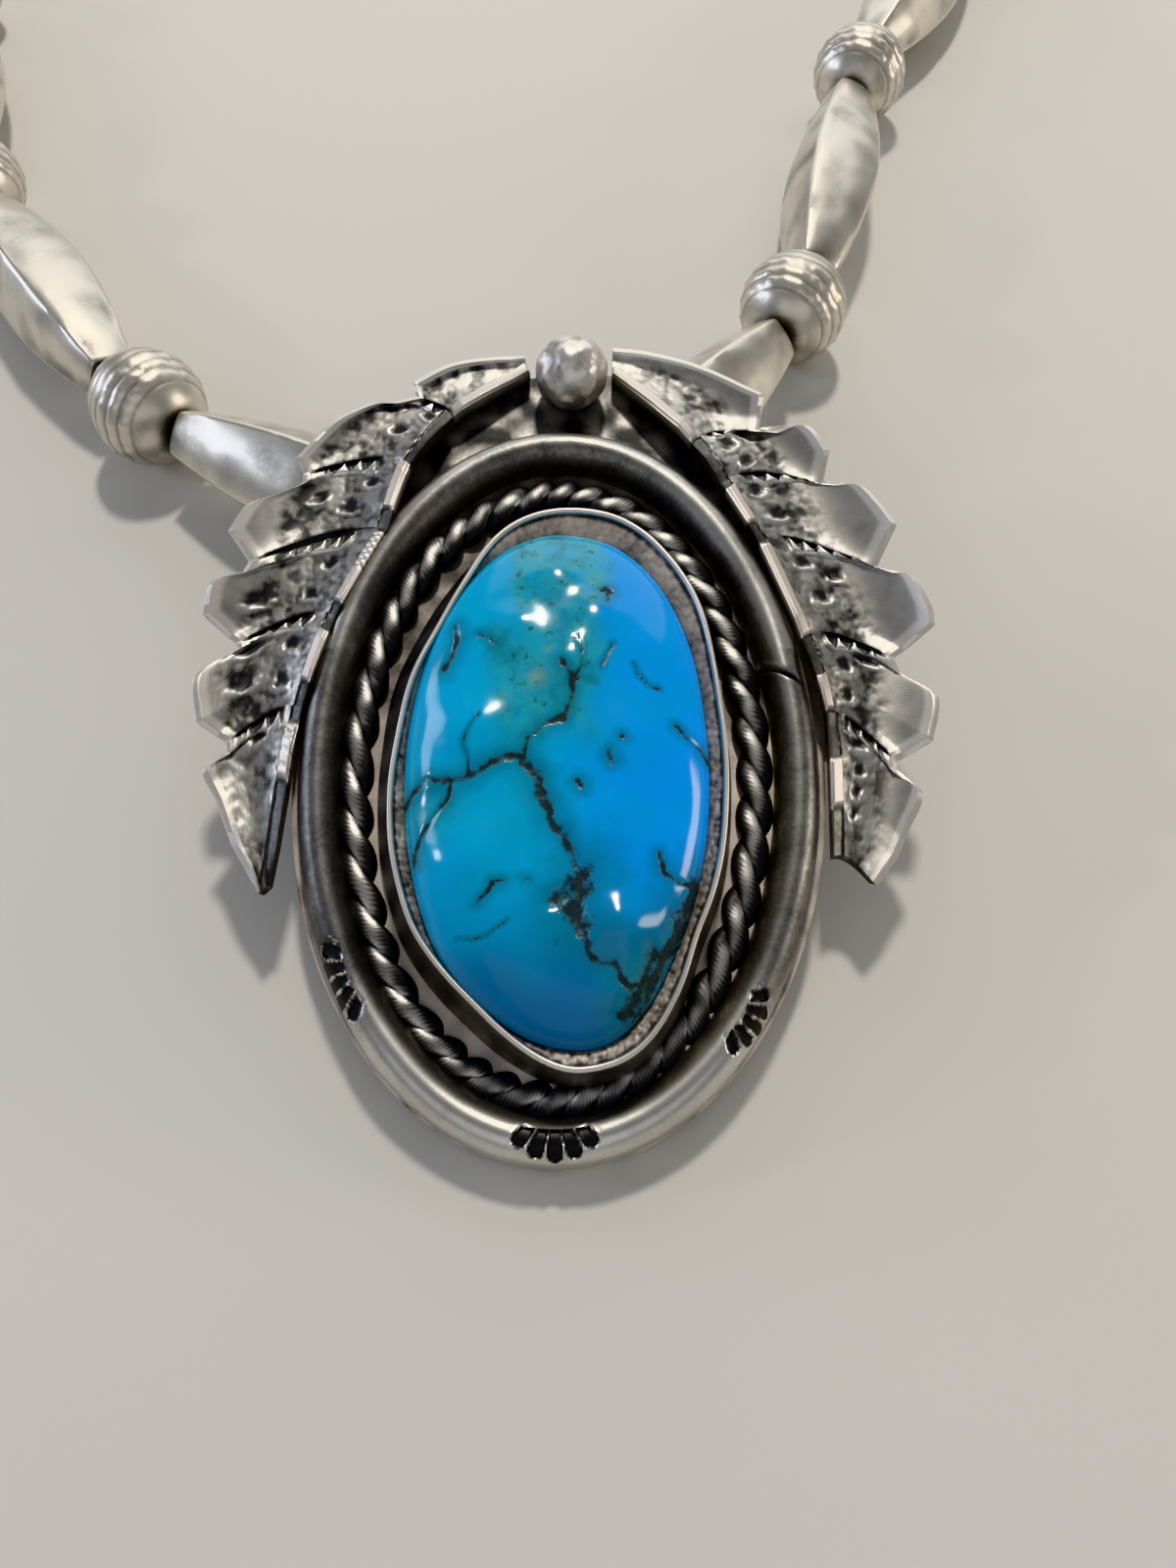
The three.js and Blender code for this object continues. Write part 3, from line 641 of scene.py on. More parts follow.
def build_rope(sizes):
    """Two round wires twisted into a rope round the bezel."""
    wire, spread, twists = sizes.rope_wire / MM, sizes.rope_spread / MM, sizes.rope_twists
    corners = [math.tau * i / WIRE_SIDES for i in range(WIRE_SIDES)]
    section = [(wire * math.cos(corner), wire * math.sin(corner)) for corner in corners]
    # A wire that leans along the rope is wider where it is cut square.
    lean = math.sqrt(1 + (spread * twists * math.tau / ROPE_LENGTH) ** 2)

    def place(start, x, y, z):
        turn, out = on_ring(x, y)
        uneven = ring_grain(turn, 3, 14.0)
        twist = twists * turn + start + 0.8 * uneven
        radial, sideways = spread + out, z * lean
        across = radial * np.cos(twist) - sideways * np.sin(twist)
        rise = radial * np.sin(twist) + sideways * np.cos(twist)
        # Hammering has flattened the crests unevenly, most of all at the foot.
        foot = smooth_step(-0.5, -0.95, np.sin(turn))
        blow = 0.42 - 0.16 * foot + 0.14 * ring_grain(turn, 9, 9.0)
        rise = np.where(rise > blow, blow + (rise - blow) * 0.45, rise)
        wider = 0.35 * smooth_step(0.2, 0.8, -np.cos(turn))
        x, y = beside_oval(ROPE, turn, across * 1.2 + wider + 0.08 * uneven)
        patch = ring_grain(turn, 16, 4.0)
        worn = smooth_step(blow - 0.08, blow + 0.08, rise)
        worn = worn * smooth_step(0.3, 0.08, np.abs(across + 0.2 * patch))
        tarnish = 1.0 - (0.6 + 0.6 * patch) * worn
        return x, y, ROPE_BASE - 0.12 * foot + rise, {"tarnish": np.clip(tarnish, 0, 1.1), "warmth": 0.0}

    for k in range(2):
        setting_piece(f"rope_wire_{k + 1}", ring(section, ROPE_STEPS), partial(place, math.pi * k), 80.0)


def full_oval(oval, turn, power):
    """A place on an oval from its own middle, squarer than an ellipse where its power is over 2."""
    c, s = np.cos(turn), np.sin(turn)
    x = oval.half_width * np.sign(c) * np.abs(c) ** (2 / power)
    y = oval.half_height * np.sign(s) * np.abs(s) ** (2 / power)
    return x, y


def bezel_edge(turn, out, up):
    """The bezel's hand-bent oval, leaning right at its top and drawn to a blunt point at its foot."""
    # The wall leans in over the stone at its upper left, and its foot is soldered in a fillet.
    upper_left = hump((turn - LEAN_AT + math.pi) % math.tau - math.pi, LEAN_SPREAD)
    foot = (0.45 + 0.45 * smooth_step(0.0, 0.7, -np.cos(turn))) * smooth_step(4.4, 1.2, up) * (out > -0.5)
    out = out - 0.75 * upper_left * smooth_step(1.4, 4.6, up) + foot
    c, s = np.cos(turn), np.sin(turn)
    power = 2 + 0.2 * smooth_step(-0.2, 0.4, s) - 0.1 * smooth_step(-0.2, -0.7, s)
    x, y = full_oval(BEZEL, turn, power)
    x = x + 0.6 * smooth_step(0.2, 0.8, s) + 1.3 * smooth_step(-0.55, -1.0, s)
    y = y + 0.45 * smooth_step(0.7, 1.0, s) - 0.4 * smooth_step(-0.8, -1.0, s)
    across, up = c / BEZEL.half_width, s / BEZEL.half_height
    length = np.hypot(across, up)
    return x + out * across / length, BEZEL.middle + y + out * up / length


def stone_edge(turn):
    """The stone's own outline, fuller at its upper right and drawn to the right at its foot."""
    power = 2 + 0.25 * smooth_step(0.0, 0.4, np.sin(turn)) * smooth_step(0.0, 0.3, np.cos(turn))
    x, y = full_oval(STONE, turn, power)
    y = STONE.middle + y
    return x + 1.0 * (np.clip(-y - 8.0, 0, None) / 5.4) ** 2, y


def build_bezel():
    """The sheet wall round the stone: a bright lip, and a rough slope from it down to the stone."""
    slope = [(-BEZEL_LIP - 0.065 * i, 4.7 - 0.045 * i) for i in range(10)]
    section = [
        (0.0, PLATE - SOLDER_SINK), (0.0, 2.0), (0.0, 3.4), (-0.01, 4.3), (-0.02, 4.65), (-0.06, 4.84),
        (-0.13, BEZEL_TOP), (-0.26, BEZEL_TOP), (-0.33, 4.82), *slope,
        (-1.0, 3.6), (-1.0, PLATE - SOLDER_SINK),
    ]

    def place(x, y, z):
        turn, out = on_ring(x, y)
        wave = ring_grain(turn, 4, 3.0)
        lip_x, lip_y = bezel_edge(turn, np.maximum(out, -BEZEL_LIP) + 0.06 * wave, z)
        edge_x, edge_y = stone_edge(turn)
        part = np.clip((-BEZEL_LIP - out) / 0.58, 0, 1.05)
        x, y = lip_x + (edge_x - lip_x) * part, lip_y + (edge_y - lip_y) * part
        high = smooth_step(3.5, 4.8, z)
        inner = smooth_step(-0.33, -0.42, out) * high
        # The filler under the lip is smooth at the top and crumbly lower down.
        crumbly = smooth_step(8.0, 0.0, y)
        gravel = (grain(x, y, 0.34, 8.0) + 0.7 * grain(x, y, 0.17, 3.0)) * (0.4 + 0.6 * crumbly)
        lip = smooth_step(4.6, 4.84, z) * (1 - inner)
        z = z + 0.06 * wave * high + 0.07 * gravel * inner
        patch = grain(x, y, 1.6, 21.0)
        wall = 0.95 - 0.25 * crumbly + 0.3 * patch
        tarnish = wall * (1 - lip) * (1 - inner) - 0.2 * lip + inner * (0.4 - 0.7 * gravel + 0.35 * patch)
        tarnish += 0.7 * hump(out + 0.4, 0.05)
        return x, y, z, {"tarnish": np.clip(tarnish, -0.2, 1), "warmth": 1.0 * inner + 0.3 * lip}

    setting_piece("bezel", ring(section, BEZEL_STEPS), place, 70.0)


def build_ball():
    """The ball at the top, with soft hammered dents."""
    bm = bmesh.new()
    bmesh.ops.create_uvsphere(bm, u_segments=BALL_STEPS, v_segments=BALL_STEPS * 2 // 3, radius=1.0)

    def place(x, y, z):
        dents, fine = (
            np.array([noise.noise(Vector(point) * often) for point in zip(x, y, z)]) for often in (2.1, 5.0)
        )
        size = BALL_RADIUS * (1 - 0.02 + 0.05 * dents + 0.016 * fine)
        x, y, z = x * size, y * size, z * size
        low = smooth_step(0.0, -1.0, z)
        tarnish = -0.15 + 0.7 * low + 0.5 * smooth_step(0.05, -0.35, dents) + 0.3 * np.clip(fine, 0, 1)
        z = z + PLATE + BALL_RADIUS - SOLDER_SINK
        return x + BALL_AT[0], y + BALL_AT[1], z, {"tarnish": tarnish, "warmth": 0.25}

    setting_piece("top_ball", bm, place, 80.0)


def build_bail():
    """The short plain tube on the back that the thread goes through."""
    half = BAIL_LENGTH / 2
    end = [(BORE_RADIUS, half - 0.1), (BORE_RADIUS + 0.1, half)]
    end += [(BAIL_RADIUS - 0.15, half), (BAIL_RADIUS, half - 0.15)]

    def place(side, up, along):
        x = BAIL_AT[0] + along * math.cos(BAIL_TURN) - side * math.sin(BAIL_TURN)
        y = BAIL_AT[1] + along * math.sin(BAIL_TURN) + side * math.cos(BAIL_TURN)
        return x, y, up - BAIL_SINK, {"tarnish": 0.4, "warmth": 0.1}

    setting_piece("bail", turned(both_ends(end), TUBE_STEPS, True), place)


# ---- the leaves ------------------------------------------------------------------

LOBE_ROWS = 58
LEAF_COLUMNS = 100
# How far apart the teeth below a groove are, and the bars of a hatched strip.
TOOTH_SPACING = 0.86
BAR_SPACING = 0.42


def curve_through(points, steps):
    """A smooth curve through points."""
    ends = [2 * points[0] - points[1]] + list(points) + [2 * points[-1] - points[-2]]
    made = []
    for a, b, c, d in zip(ends, ends[1:], ends[2:], ends[3:]):
        for i in range(steps):
            t = i / steps
            square, cube = 2 * a - 5 * b + 4 * c - d, 3 * b - a - 3 * c + d
            made.append(0.5 * (2 * b + (c - a) * t + square * t**2 + cube * t**3))
    return made + [points[-1]]


def lobe_edge(before, lobe):
    """Even places along a lobe's outer edge, from the notch before it to its own."""
    crown = curve_through([np.array(p) for p in (lobe.start, lobe.crown, lobe.shoulder, lobe.tip)], 12)
    line = np.array([before] + crown + [lobe.notch])
    length = np.append(0, np.cumsum(np.hypot(*np.diff(line, axis=0).T)))
    wanted = np.linspace(0, length[-1], LOBE_ROWS)
    return np.stack([np.interp(wanted, length, places) for places in line.T], 1), length[-1]


def leaf_rows(root, lobes):
    """For each row of a leaf: its ends, its part of its lobe, that lobe, its edges' lengths, the way back."""
    outer, inner, part, index, outer_length, inner_length, back = [], [], [], [], [], [], []
    before_outer, before_inner = lobes[0].start, root
    for k, lobe in enumerate(lobes):
        edge, length = lobe_edge(before_outer, lobe)
        share = np.linspace(0, 1, LOBE_ROWS)[:, None]
        step = np.array(lobe.inner) - np.array(before_inner)
        outer.append(edge)
        inner.append(np.array(before_inner) + share * step)
        part.append(share[:, 0])
        index.append(np.full(LOBE_ROWS, k))
        outer_length.append(np.full(LOBE_ROWS, length))
        inner_length.append(np.full(LOBE_ROWS, np.hypot(*step)))
        back.append(np.tile(-step / np.hypot(*step), (LOBE_ROWS, 1)))
        before_outer, before_inner = lobe.notch, lobe.inner
    return [np.concatenate(rows) for rows in (outer, inner, part, index, outer_length, inner_length, back)]


def leaf_relief(lobes, pits, satin_from, k, part, across, reach, width, length, x, y):
    """The chiselled relief of a leaf's upper skin, the oxide, painted shade and painted highlights left in
    it, and how warm it is.
    """
    below = part * length
    above = (1 - part) * length
    side = across * width
    first, last = k == 0, k == len(lobes) - 1
    outward = smooth_step(0.25, 0.5, across)
    # Each lobe's foot stands a little over the next one's head.
    step = np.where(last, 0, 0.1 * np.exp(-above / 0.5)) - np.where(first, 0, 0.12 * np.exp(-below / 0.3))
    # Chisel marks cover all but the smooth outer part.
    satin = smooth_step(satin_from - 0.07, satin_from + 0.07, reach + 0.06 * grain(x, y, 1.5, 6.0))
    coarse = grain(x, y, 0.8, 1.0)
    fine = grain(x, y, 0.36, 5.0)
    worked = coarse + 0.7 * fine
    flecks = smooth_step(0.02, 0.3, worked)
    nicks = smooth_step(-0.08, -0.4, worked)
    detail = (1 - satin) * (0.014 * flecks - 0.018 * nicks)
    tarnish = 0.62 - 0.16 * flecks + 0.2 * nicks + 0.25 * grain(x, y, 2.6, 12.0) - 0.1 * first
    # Painted shade darkens the chiselled part of each lobe's foot.
    tarnish += 0.16 * smooth_step(0.7, 0.95, part) * (1 - satin) * outward
    tarnish += satin * (0.46 - tarnish + 0.12 * coarse)
    # The upper lobes are dished smoothly beside the satin part, and painted shade darkens that dip.
    shaded_hollow = hump(reach - satin_from + 0.14, 0.1) * smooth_step(0.15, 0.4, part) * smooth_step(1.0, 0.8, part)
    shaded_hollow *= ~last
    detail *= 1 - 0.6 * shaded_hollow
    tarnish += 0.3 * shaded_hollow
    # A row of pointed teeth below each groove, cut by eye.
    sway = 0.12 * grain(side, 3.0 * k, 1.0, 2.0)
    beside = (side + sway) / TOOTH_SPACING
    beside = np.abs(beside - np.round(beside)) * TOOTH_SPACING
    row = (~first) * smooth_step(0.28, 0.36, across) * smooth_step(0.9, 0.82, across)
    row *= smooth_step(0.05, 0.15, below) * smooth_step(1.75, 1.3, below)
    tooth = smooth_step(0.07, -0.07, beside - 0.36 * (below - 0.15 - sway) / 1.1)
    detail = detail * (1 - row) + row * (0.26 * tooth - 0.1)
    # The ground between the teeth is dark with oxide in its recess and with painted shadow of the lobe's foot
    # above.
    tarnish += row * (0.95 - 1.15 * tooth - tarnish)
    # Punched pits with metal pushed up between them, on the side below each pit; a painted highlight lightens
    # that pushed-up ridge.
    for pit in pits:
        here = k == pit.lobe
        dx = (across - pit.across) * width + 0.24 * fine
        dy = (part - pit.along) * length + 0.2 * coarse
        far = (np.abs(dx) ** 3 + np.abs(dy) ** 3) ** (1 / 3) / pit.radius
        dished = smooth_step(1.5, 0.5, far) * here
        brow_highlight = smooth_step(2.3, 1.6, far) * smooth_step(1.0, 1.4, far) * here * (1 - row) * (1 - satin)
        brow_highlight *= smooth_step(0.1, 0.9, dy / pit.radius)
        detail = detail * (1 - dished) - 0.08 * dished + 0.05 * brow_highlight
        tarnish += dished * (1.0 - tarnish) - 0.5 * brow_highlight
    # Painted shadow darkens a line on both sides of each step between the lobes.
    groove = np.where(last, 0, 0.8 * hump(above, 0.1)) + np.where(first, 0, 0.7 * hump(below, 0.12))
    tarnish += outward * groove
    relief = detail - 0.1 * shaded_hollow + outward * step
    # Polished strips along the inner edge, some of them hatched, with dark ends between them.
    start = np.array([lobe.strip[0] for lobe in lobes])[k]
    end = np.array([lobe.strip[1] for lobe in lobes])[k]
    hatched = np.array([lobe.hatched for lobe in lobes])[k]
    band = smooth_step(0.9, 0.82, side)
    strip = band * smooth_step(-0.02, 0.02, part - start) * smooth_step(-0.02, 0.02, end - part)
    strip = strip * (end > start)
    bar = below / BAR_SPACING
    bars = hatched * strip * (np.abs(bar - np.round(bar)) > 0.36) * (part < 0.5)
    relief = relief * (1 - band) - 0.12 * band + 0.36 * strip - 0.08 * bars
    tarnish = (1 - band) * tarnish + band * (0.85 - 1.1 * strip) + 0.7 * bars
    return relief, np.clip(tarnish, -0.2, 1.0), 0.55 * strip * (1 - bars)


def build_leaf(name, root, lobes, pits, satin_from, sizes):
    """A channelled sheet of six overlapping lobes, chiselled, pitted and edged with bright strips."""
    outer, inner, part, index, outer_length, inner_length, back = leaf_rows(root, lobes)
    rows = len(part) - 1
    widths = np.hypot(*(outer - inner).T)
    # The sheet is curled before its lobes are cut, so its curl follows the widest lobe nearby.
    spread = np.array([widths[max(0, r - 40) : r + 40].max() for r in range(rows + 1)])
    envelope = np.convolve(np.pad(spread, 30, "edge"), np.ones(61) / 61, "valid")
    cut_face = sizes.cut_face / MM

    def place(across, along, skin):
        row = np.round(along * rows).astype(int)
        upper = skin > 0.5
        o, i, width, full = outer[row], inner[row], widths[row], envelope[row]
        at = across * np.where(upper, 1 - cut_face / np.maximum(width, 1.5), 1.0)
        bulge = GROOVE_BULGE * np.clip(width / 6, 0, 1) * 4 * across * (1 - across)
        bulge = bulge * smooth_step(0.0, 0.15, row / rows)
        x = i[:, 0] + (o[:, 0] - i[:, 0]) * at + back[row, 0] * bulge + 0.25 * across * np.sign(o[:, 0])
        y = i[:, 1] + (o[:, 1] - i[:, 1]) * at + back[row, 1] * bulge + 0.3 * across
        length = inner_length[row] + (outer_length[row] - inner_length[row]) * across
        reach = across * np.maximum(width / full, 0.74)
        relief, tarnish, warmth = leaf_relief(
            lobes, pits, satin_from, index[row], part[row], across, reach, width, length, x, y
        )
        relief *= sizes.leaf_relief
        shallow = np.clip(width / 6.5, 0.3, 1)
        rise = np.abs(2 * reach - 1)
        curl = np.where(reach < 0.5, shallow * rise**2.0, 1.1 * rise**2.1)
        channel = LEAF_MIDDLE + LEAF_RISE * curl
        fade = smooth_step(0, 0.05, across) * smooth_step(1.0, 0.96, across)
        # The cut face of the curled-up edge looks upwards.
        under = LEAF_SHEET + (0.12 - LEAF_SHEET) * smooth_step(0.9, 1.0, across)
        z = np.where(upper, channel + relief * fade, channel - under)
        edge = smooth_step(0.93, 0.97, across)
        tarnish = np.where(upper, tarnish * (1 - edge) - 0.2 * edge, np.where(across > 0.98, -0.2, 0.9))
        warmth = np.where(upper, warmth + 0.35 * edge, np.where(across > 0.98, 0.35, 0.0))
        return x, y, z, {"tarnish": tarnish, "warmth": warmth}

    setting_piece(name, sheet(LEAF_COLUMNS, rows), place, 50.0)


# ---- the stone -------------------------------------------------------------------


def vein_distance(x, y):
    """How far the nearest vein is, counted in its half widths, and how far the nearest wide one is."""
    counted, deep = np.full(x.shape, 9.0), np.full(x.shape, 9.0)
    # The veins wander a little from their lines.
    swayed_x = x + 0.22 * grain(x, y, 1.1, 11.0)
    swayed_y = y + 0.22 * grain(x, y, 1.1, 17.0)
    for vein in VEINS:
        for (x0, y0), (x1, y1) in zip(vein.points, vein.points[1:]):
            dx, dy = x1 - x0, y1 - y0
            part = ((swayed_x - x0) * dx + (swayed_y - y0) * dy) / (dx * dx + dy * dy)
            part = np.clip(part, 0, 1)
            far = np.hypot(swayed_x - x0 - part * dx, swayed_y - y0 - part * dy)
            counted = np.minimum(counted, far / vein.half_width)
            if vein.half_width > WIDE_VEIN:
                deep = np.minimum(deep, far)
    return counted, deep


def build_stone(sizes):
    """The high oval stone, polished over its nuggets, with its matrix a little sunk between them."""
    vein_depth = sizes.vein_depth / MM

    def place(across, along, skin):
        # The square sheet is drawn out to a disc.
        a, b = 2 * across - 1, 2 * along - 1
        px, py = a * np.sqrt(1 - b * b / 2), b * np.sqrt(1 - a * a / 2)
        radius = np.clip(np.hypot(px, py), 1e-9, 1)
        turn = np.arctan2(py, px)
        dome = np.sin(np.clip(radius / STONE_POLISHED, 0, 1) * math.pi / 2)
        rim_x, rim_y = stone_edge(turn)
        x = rim_x * dome
        y = STONE.middle + (rim_y - STONE.middle) * dome
        # Its lower half is flatter on top and falls off more steeply to its edge.
        height = (1 - dome ** (2.8 + 1.7 * smooth_step(-1.0, -6.0, y))) ** 0.6
        counted, deep = vein_distance(x, y)
        centre = smooth_step(0.99, 0.85, dome)
        nuggets = sum(n.height * hump(np.hypot(x - n.x, y - n.y), n.radius) for n in NUGGETS)
        uneven = 0.02 * grain(x, y, 1.6, 7.0) + 0.006 * grain(x, y, 0.9, 19.0)
        sunk = vein_depth * (hump(deep, 0.5) + 0.4 * hump(counted, 1.1))
        relief = (nuggets + uneven - sunk) * centre
        top = STONE_GIRDLE + (STONE_TOP - 0.35 - STONE_GIRDLE) * height + relief
        rest = np.clip((1 - radius) / (1 - STONE_POLISHED), 0, 1)
        skirt = STONE_FOOT + (STONE_GIRDLE - STONE_FOOT) * rest
        upper = np.where(radius < STONE_POLISHED, top, skirt)
        z = np.where(skin > 0.5, upper, PLATE + 0.5)
        drift = grain(x, y, 2.4, 31.0)
        cloud = smooth_step(3.4, 1.6, np.abs(x + 0.4 - 0.12 * (y - 6) + 1.6 * drift))
        cloud = cloud * smooth_step(0.6, 3.0, y - drift)
        cloud = np.maximum(cloud, 0.8 * hump(np.hypot(x + 6.2, y + 2.0), 1.6))
        cloud = np.maximum(cloud, 0.7 * hump(np.hypot(x - 4.2, y + 10.5), 1.8))
        side = smooth_step(-1.5, 4.0, x + 0.1 * y) * smooth_step(-11.0, -6.0, y)
        # Painted shade: the stone darkens towards its bottom, where its surface turns away from the light.
        dusk = smooth_step(-4.0, -12.5, y - 0.15 * x + 0.8 * drift)
        pale = sum(spot.strength * hump(np.hypot(x - spot.x, y - spot.y), spot.size) for spot in PALE_SPOTS)
        return x, y, z, {"vein": counted, "cloud": cloud, "side": side, "pale": pale, "dusk": dusk}

    finish_piece(
        "turquoise_cabochon", sheet(STONE_STEPS, STONE_STEPS), place, pendant_matrix(),
        "polished_turquoise", ["turquoise_stone"], 60.0,
    )


# ---- the beads -------------------------------------------------------------------


def node_points(node):
    """The separate corners of a CAD node, in millimetres."""
    mesh = frame["nodes"][node].data
    points = np.empty((len(mesh.vertices), 3), np.float32)
    mesh.vertices.foreach_get("co", points.ravel())
    return np.unique(np.round(points.astype(float) / MM, 3), axis=0)


def bead_frame(node):
    """The middle, long axis and half length of a turned CAD node."""
    points = node_points(node)
    middle = points.mean(0)
    axis = np.linalg.svd(points - middle)[2][0]
    along = (points - middle) @ axis
    ends = [points[along < along.min() + 0.1].mean(0), points[along > along.max() - 0.1].mean(0)]
    axis = (ends[1] - ends[0]) / np.linalg.norm(ends[1] - ends[0])
    return (ends[0] + ends[1]) / 2, axis, np.linalg.norm(ends[1] - ends[0]) / 2


def laid(middle, axis, up):
    """A matrix that lays a bead's own Z along its axis, with its X towards up."""
    z = Vector(axis).normalized()
    y = z.cross(Vector(up)).normalized()
    x = y.cross(z)
    turn = Matrix((x, y, z)).transposed().to_4x4()
    return Matrix.Translation(Vector(middle) * MM) @ turn @ Matrix.Scale(MM, 4)


def ridge_of(node, middle, axis):
    """The direction of the highest of a long bead's four ridges."""
    away = node_points(node) - middle
    away -= np.outer(away @ axis, axis)
    reach = np.linalg.norm(away, axis=1)
    ridges = away[reach > reach.max() - 0.05]
    return ridges[np.argmax(ridges[:, 2])] / reach.max(), reach.max()


def strand_piece(name, bm, place, matrix, node, sharp=40.0):
    """A satin silver piece of the strand."""
    finish_piece(name, bm, place, matrix, "satin_sterling_silver", [node], sharp)


def bored(half, outside):
    """A bead's profile, with the hole for its cable."""
    return [(BORE_RADIUS, -half)] + outside + [(BORE_RADIUS, half)]


def build_long_bead(side, i, sizes):
    """A pillow-shaped bead with four polished ridges, bulging satin faces and flat cut ends."""
    node = f"long_bead_{side}_{i}"
    middle, axis, half = bead_frame(node)
    up, top = ridge_of(node, middle, axis)
    seed = 10.0 * i + (5.0 if side == "left" else 0.0)
    stops = [-1.0, -0.99] + [-0.97 + 1.94 * s / 44 for s in range(45)] + [0.99, 1.0]
    profile = bored(half, [(LONG_END_RADIUS, s * half) for s in stops])

    def place(x, y, z):
        step = np.round(np.arctan2(y, x) / math.tau * LONG_BEAD_STEPS).astype(int) % LONG_BEAD_STEPS
        face, corner = step // len(FACE_CORNERS), step % len(FACE_CORNERS)
        from_middle = np.radians(np.array(FACE_CORNERS)[corner])
        angle = (face + 0.5) * math.pi / 2 + from_middle
        part = z / half
        outline = LONG_END_RADIUS + (top - LONG_END_RADIUS) * (1 - np.abs(part) ** 1.8)
        arc = np.sqrt(FACE_ARC_SQUARED - FACE_OFFSET_SQUARED * np.sin(from_middle) ** 2)
        bulge = -FACE_OFFSET * np.cos(from_middle) + arc
        radius = outline * np.minimum(bulge, RIDGE_TOP)
        # The faces are dented and planished by hand, each in its own way.
        wide, small, patch = (
            grain(z, angle * 3.0, size, seed + more) for size, more in ((2.9, 0), (1.1, 6), (1.7, 3))
        )
        ridge = smooth_step(0.95, RIDGE_TOP, bulge)
        near_end = smooth_step(0.8, 1.0, np.abs(part))
        radius += sizes.bead_dents / MM * (wide + 0.3 * small) * (1 - ridge) * (1 - near_end)
        radius -= 0.1 * smooth_step(0.985, 1.0, np.abs(part))
        bore = np.hypot(x, y) < BORE_RADIUS + 0.05
        radius = np.where(bore, BORE_RADIUS, radius)
        tarnish = 0.12 - 0.5 * wide + 0.3 * patch + 0.3 * near_end - 0.5 * ridge
        tarnish = np.where(bore, 1.0, np.clip(tarnish, 0, 0.75))
        marks = {"tarnish": tarnish, "warmth": 0.1 + 0.2 * np.clip(wide, 0, 1)}
        return radius * np.cos(angle), radius * np.sin(angle), z, marks

    bm = turned(profile, LONG_BEAD_STEPS, True)
    strand_piece(node.replace("bead", "silver_bead"), bm, place, laid(middle, axis, up), node, 25.0)


def build_round_bead(side, i, sizes):
    """A round bead with three lumpy rings beside its middle, on the side that faces the pendant."""
    node = f"round_bead_{side}_{i}"
    points = node_points(node)
    middle = (points.min(0) + points.max(0)) / 2
    before, after = (bead_frame(f"long_bead_{side}_{j}")[0] for j in (i, i + 1))
    axis = after - before
    axis /= np.linalg.norm(axis)
    half = ((points - middle) @ axis).max()
    radius = np.linalg.norm(points - middle, axis=1).max()
    ends = math.acos(ROUND_END_RADIUS / radius)
    tilts = [-ends + 2 * ends * s / 56 for s in range(57)]
    profile = bored(half, [(radius * math.cos(t), half * math.sin(t) / math.sin(ends)) for t in tilts])
    seed = 20.0 * i + (7.0 if side == "left" else 0.0)

    def place(x, y, z):
        turn = np.arctan2(y, x)
        bore = np.hypot(x, y) < BORE_RADIUS + 0.05
        latitude = np.arcsin(np.clip(z / half * math.sin(ends), -1, 1))
        arc = latitude * radius
        cx, cy = np.cos(turn) * 2.5, np.sin(turn) * 2.5
        wander = 0.16 * grain(cx, cy, 1.2, seed)
        lumps = grain(cx * 1.6, cy * 1.6 + arc, 0.8, seed + 4)
        rings = sum(hump(arc - at - wander, 0.36) for at in RING_CRESTS)
        valley = sum(hump(arc - at - wander, 0.13) for at in RING_VALLEYS)
        beads = 0.45 + 0.45 * np.cos(turn * RING_LUMPS + 5 * wander + 2.2 * arc) + 0.5 * lumps
        plain = grain(cx + 0.4 * arc, cy + arc, 1.5, seed + 2)
        band = smooth_step(-2.7, -2.5, arc) * smooth_step(1.45, 1.15, arc)
        relief = band * (sizes.bead_rings / MM * rings * beads - 0.07 * valley)
        relief = relief + 0.06 * plain * (1 - band)
        relief = np.where(bore, 0, relief) - 0.08
        scale = np.where(bore, 1, 1 + relief / radius)
        tarnish = 0.08 + 0.5 * valley * band - 0.3 * band * rings * beads - 0.5 * plain * (1 - band)
        tarnish += 0.4 * smooth_step(1.0, 1.14, np.abs(latitude))
        tarnish = np.where(bore, 1.0, np.clip(tarnish, 0, 0.85))
        return x * scale, y * scale, z, {"tarnish": tarnish, "warmth": 0.2}

    bm = turned(profile, ROUND_BEAD_STEPS, True)
    strand_piece(node.replace("bead", "silver_bead"), bm, place, laid(middle, axis, UPWARDS), node, 60.0)


def build_clasp():
    """The barrel clasp, with two turned lines at each shoulder and a pin at each end."""
    middle, axis, half = bead_frame("clasp")
    tip = half + CLASP_PIN_LENGTH
    end = [
        (0.0, tip), (CLASP_PIN, tip), (CLASP_PIN, half), (CLASP_END - 0.15, half), (CLASP_END, half - 0.15),
        (CLASP_NECK, half - 2.0), (CLASP_BODY - 0.1, half - 3.35), (CLASP_BODY, half - 3.6),
    ]
    line = [(CLASP_BODY, 0.0), (CLASP_BODY - 0.15, 0.15), (CLASP_BODY - 0.15, 0.3), (CLASP_BODY, 0.45)]
    first, last = -half + 4.2, half - 5.4
    lines = [(radius, at + up) for at in (first, first + 0.7, last, last + 0.7) for radius, up in line]

    def place(x, y, z):
        reach = np.hypot(x, y)
        in_line = (reach > CLASP_BODY - 0.2) & (reach < CLASP_BODY - 0.12)
        tarnish = 0.15 + 0.6 * in_line + 0.1 * np.cos(3 * np.arctan2(y, x))
        return x, y, z, {"tarnish": np.clip(tarnish, 0, 1), "warmth": 0.1}

    bm = turned(both_ends(end, lines), TUBE_STEPS, False)
    strand_piece("barrel_clasp", bm, place, laid(middle, axis, UPWARDS), "clasp")


def finish_thread():
    """The stringing cable keeps its CAD shape and gets its own finish."""
    thread = frame["nodes"]["stringing_thread"]
    thread.data.materials.clear()
    thread.data.materials.append(material_named("beading_cable"))


# ---- stage -----------------------------------------------------------------------


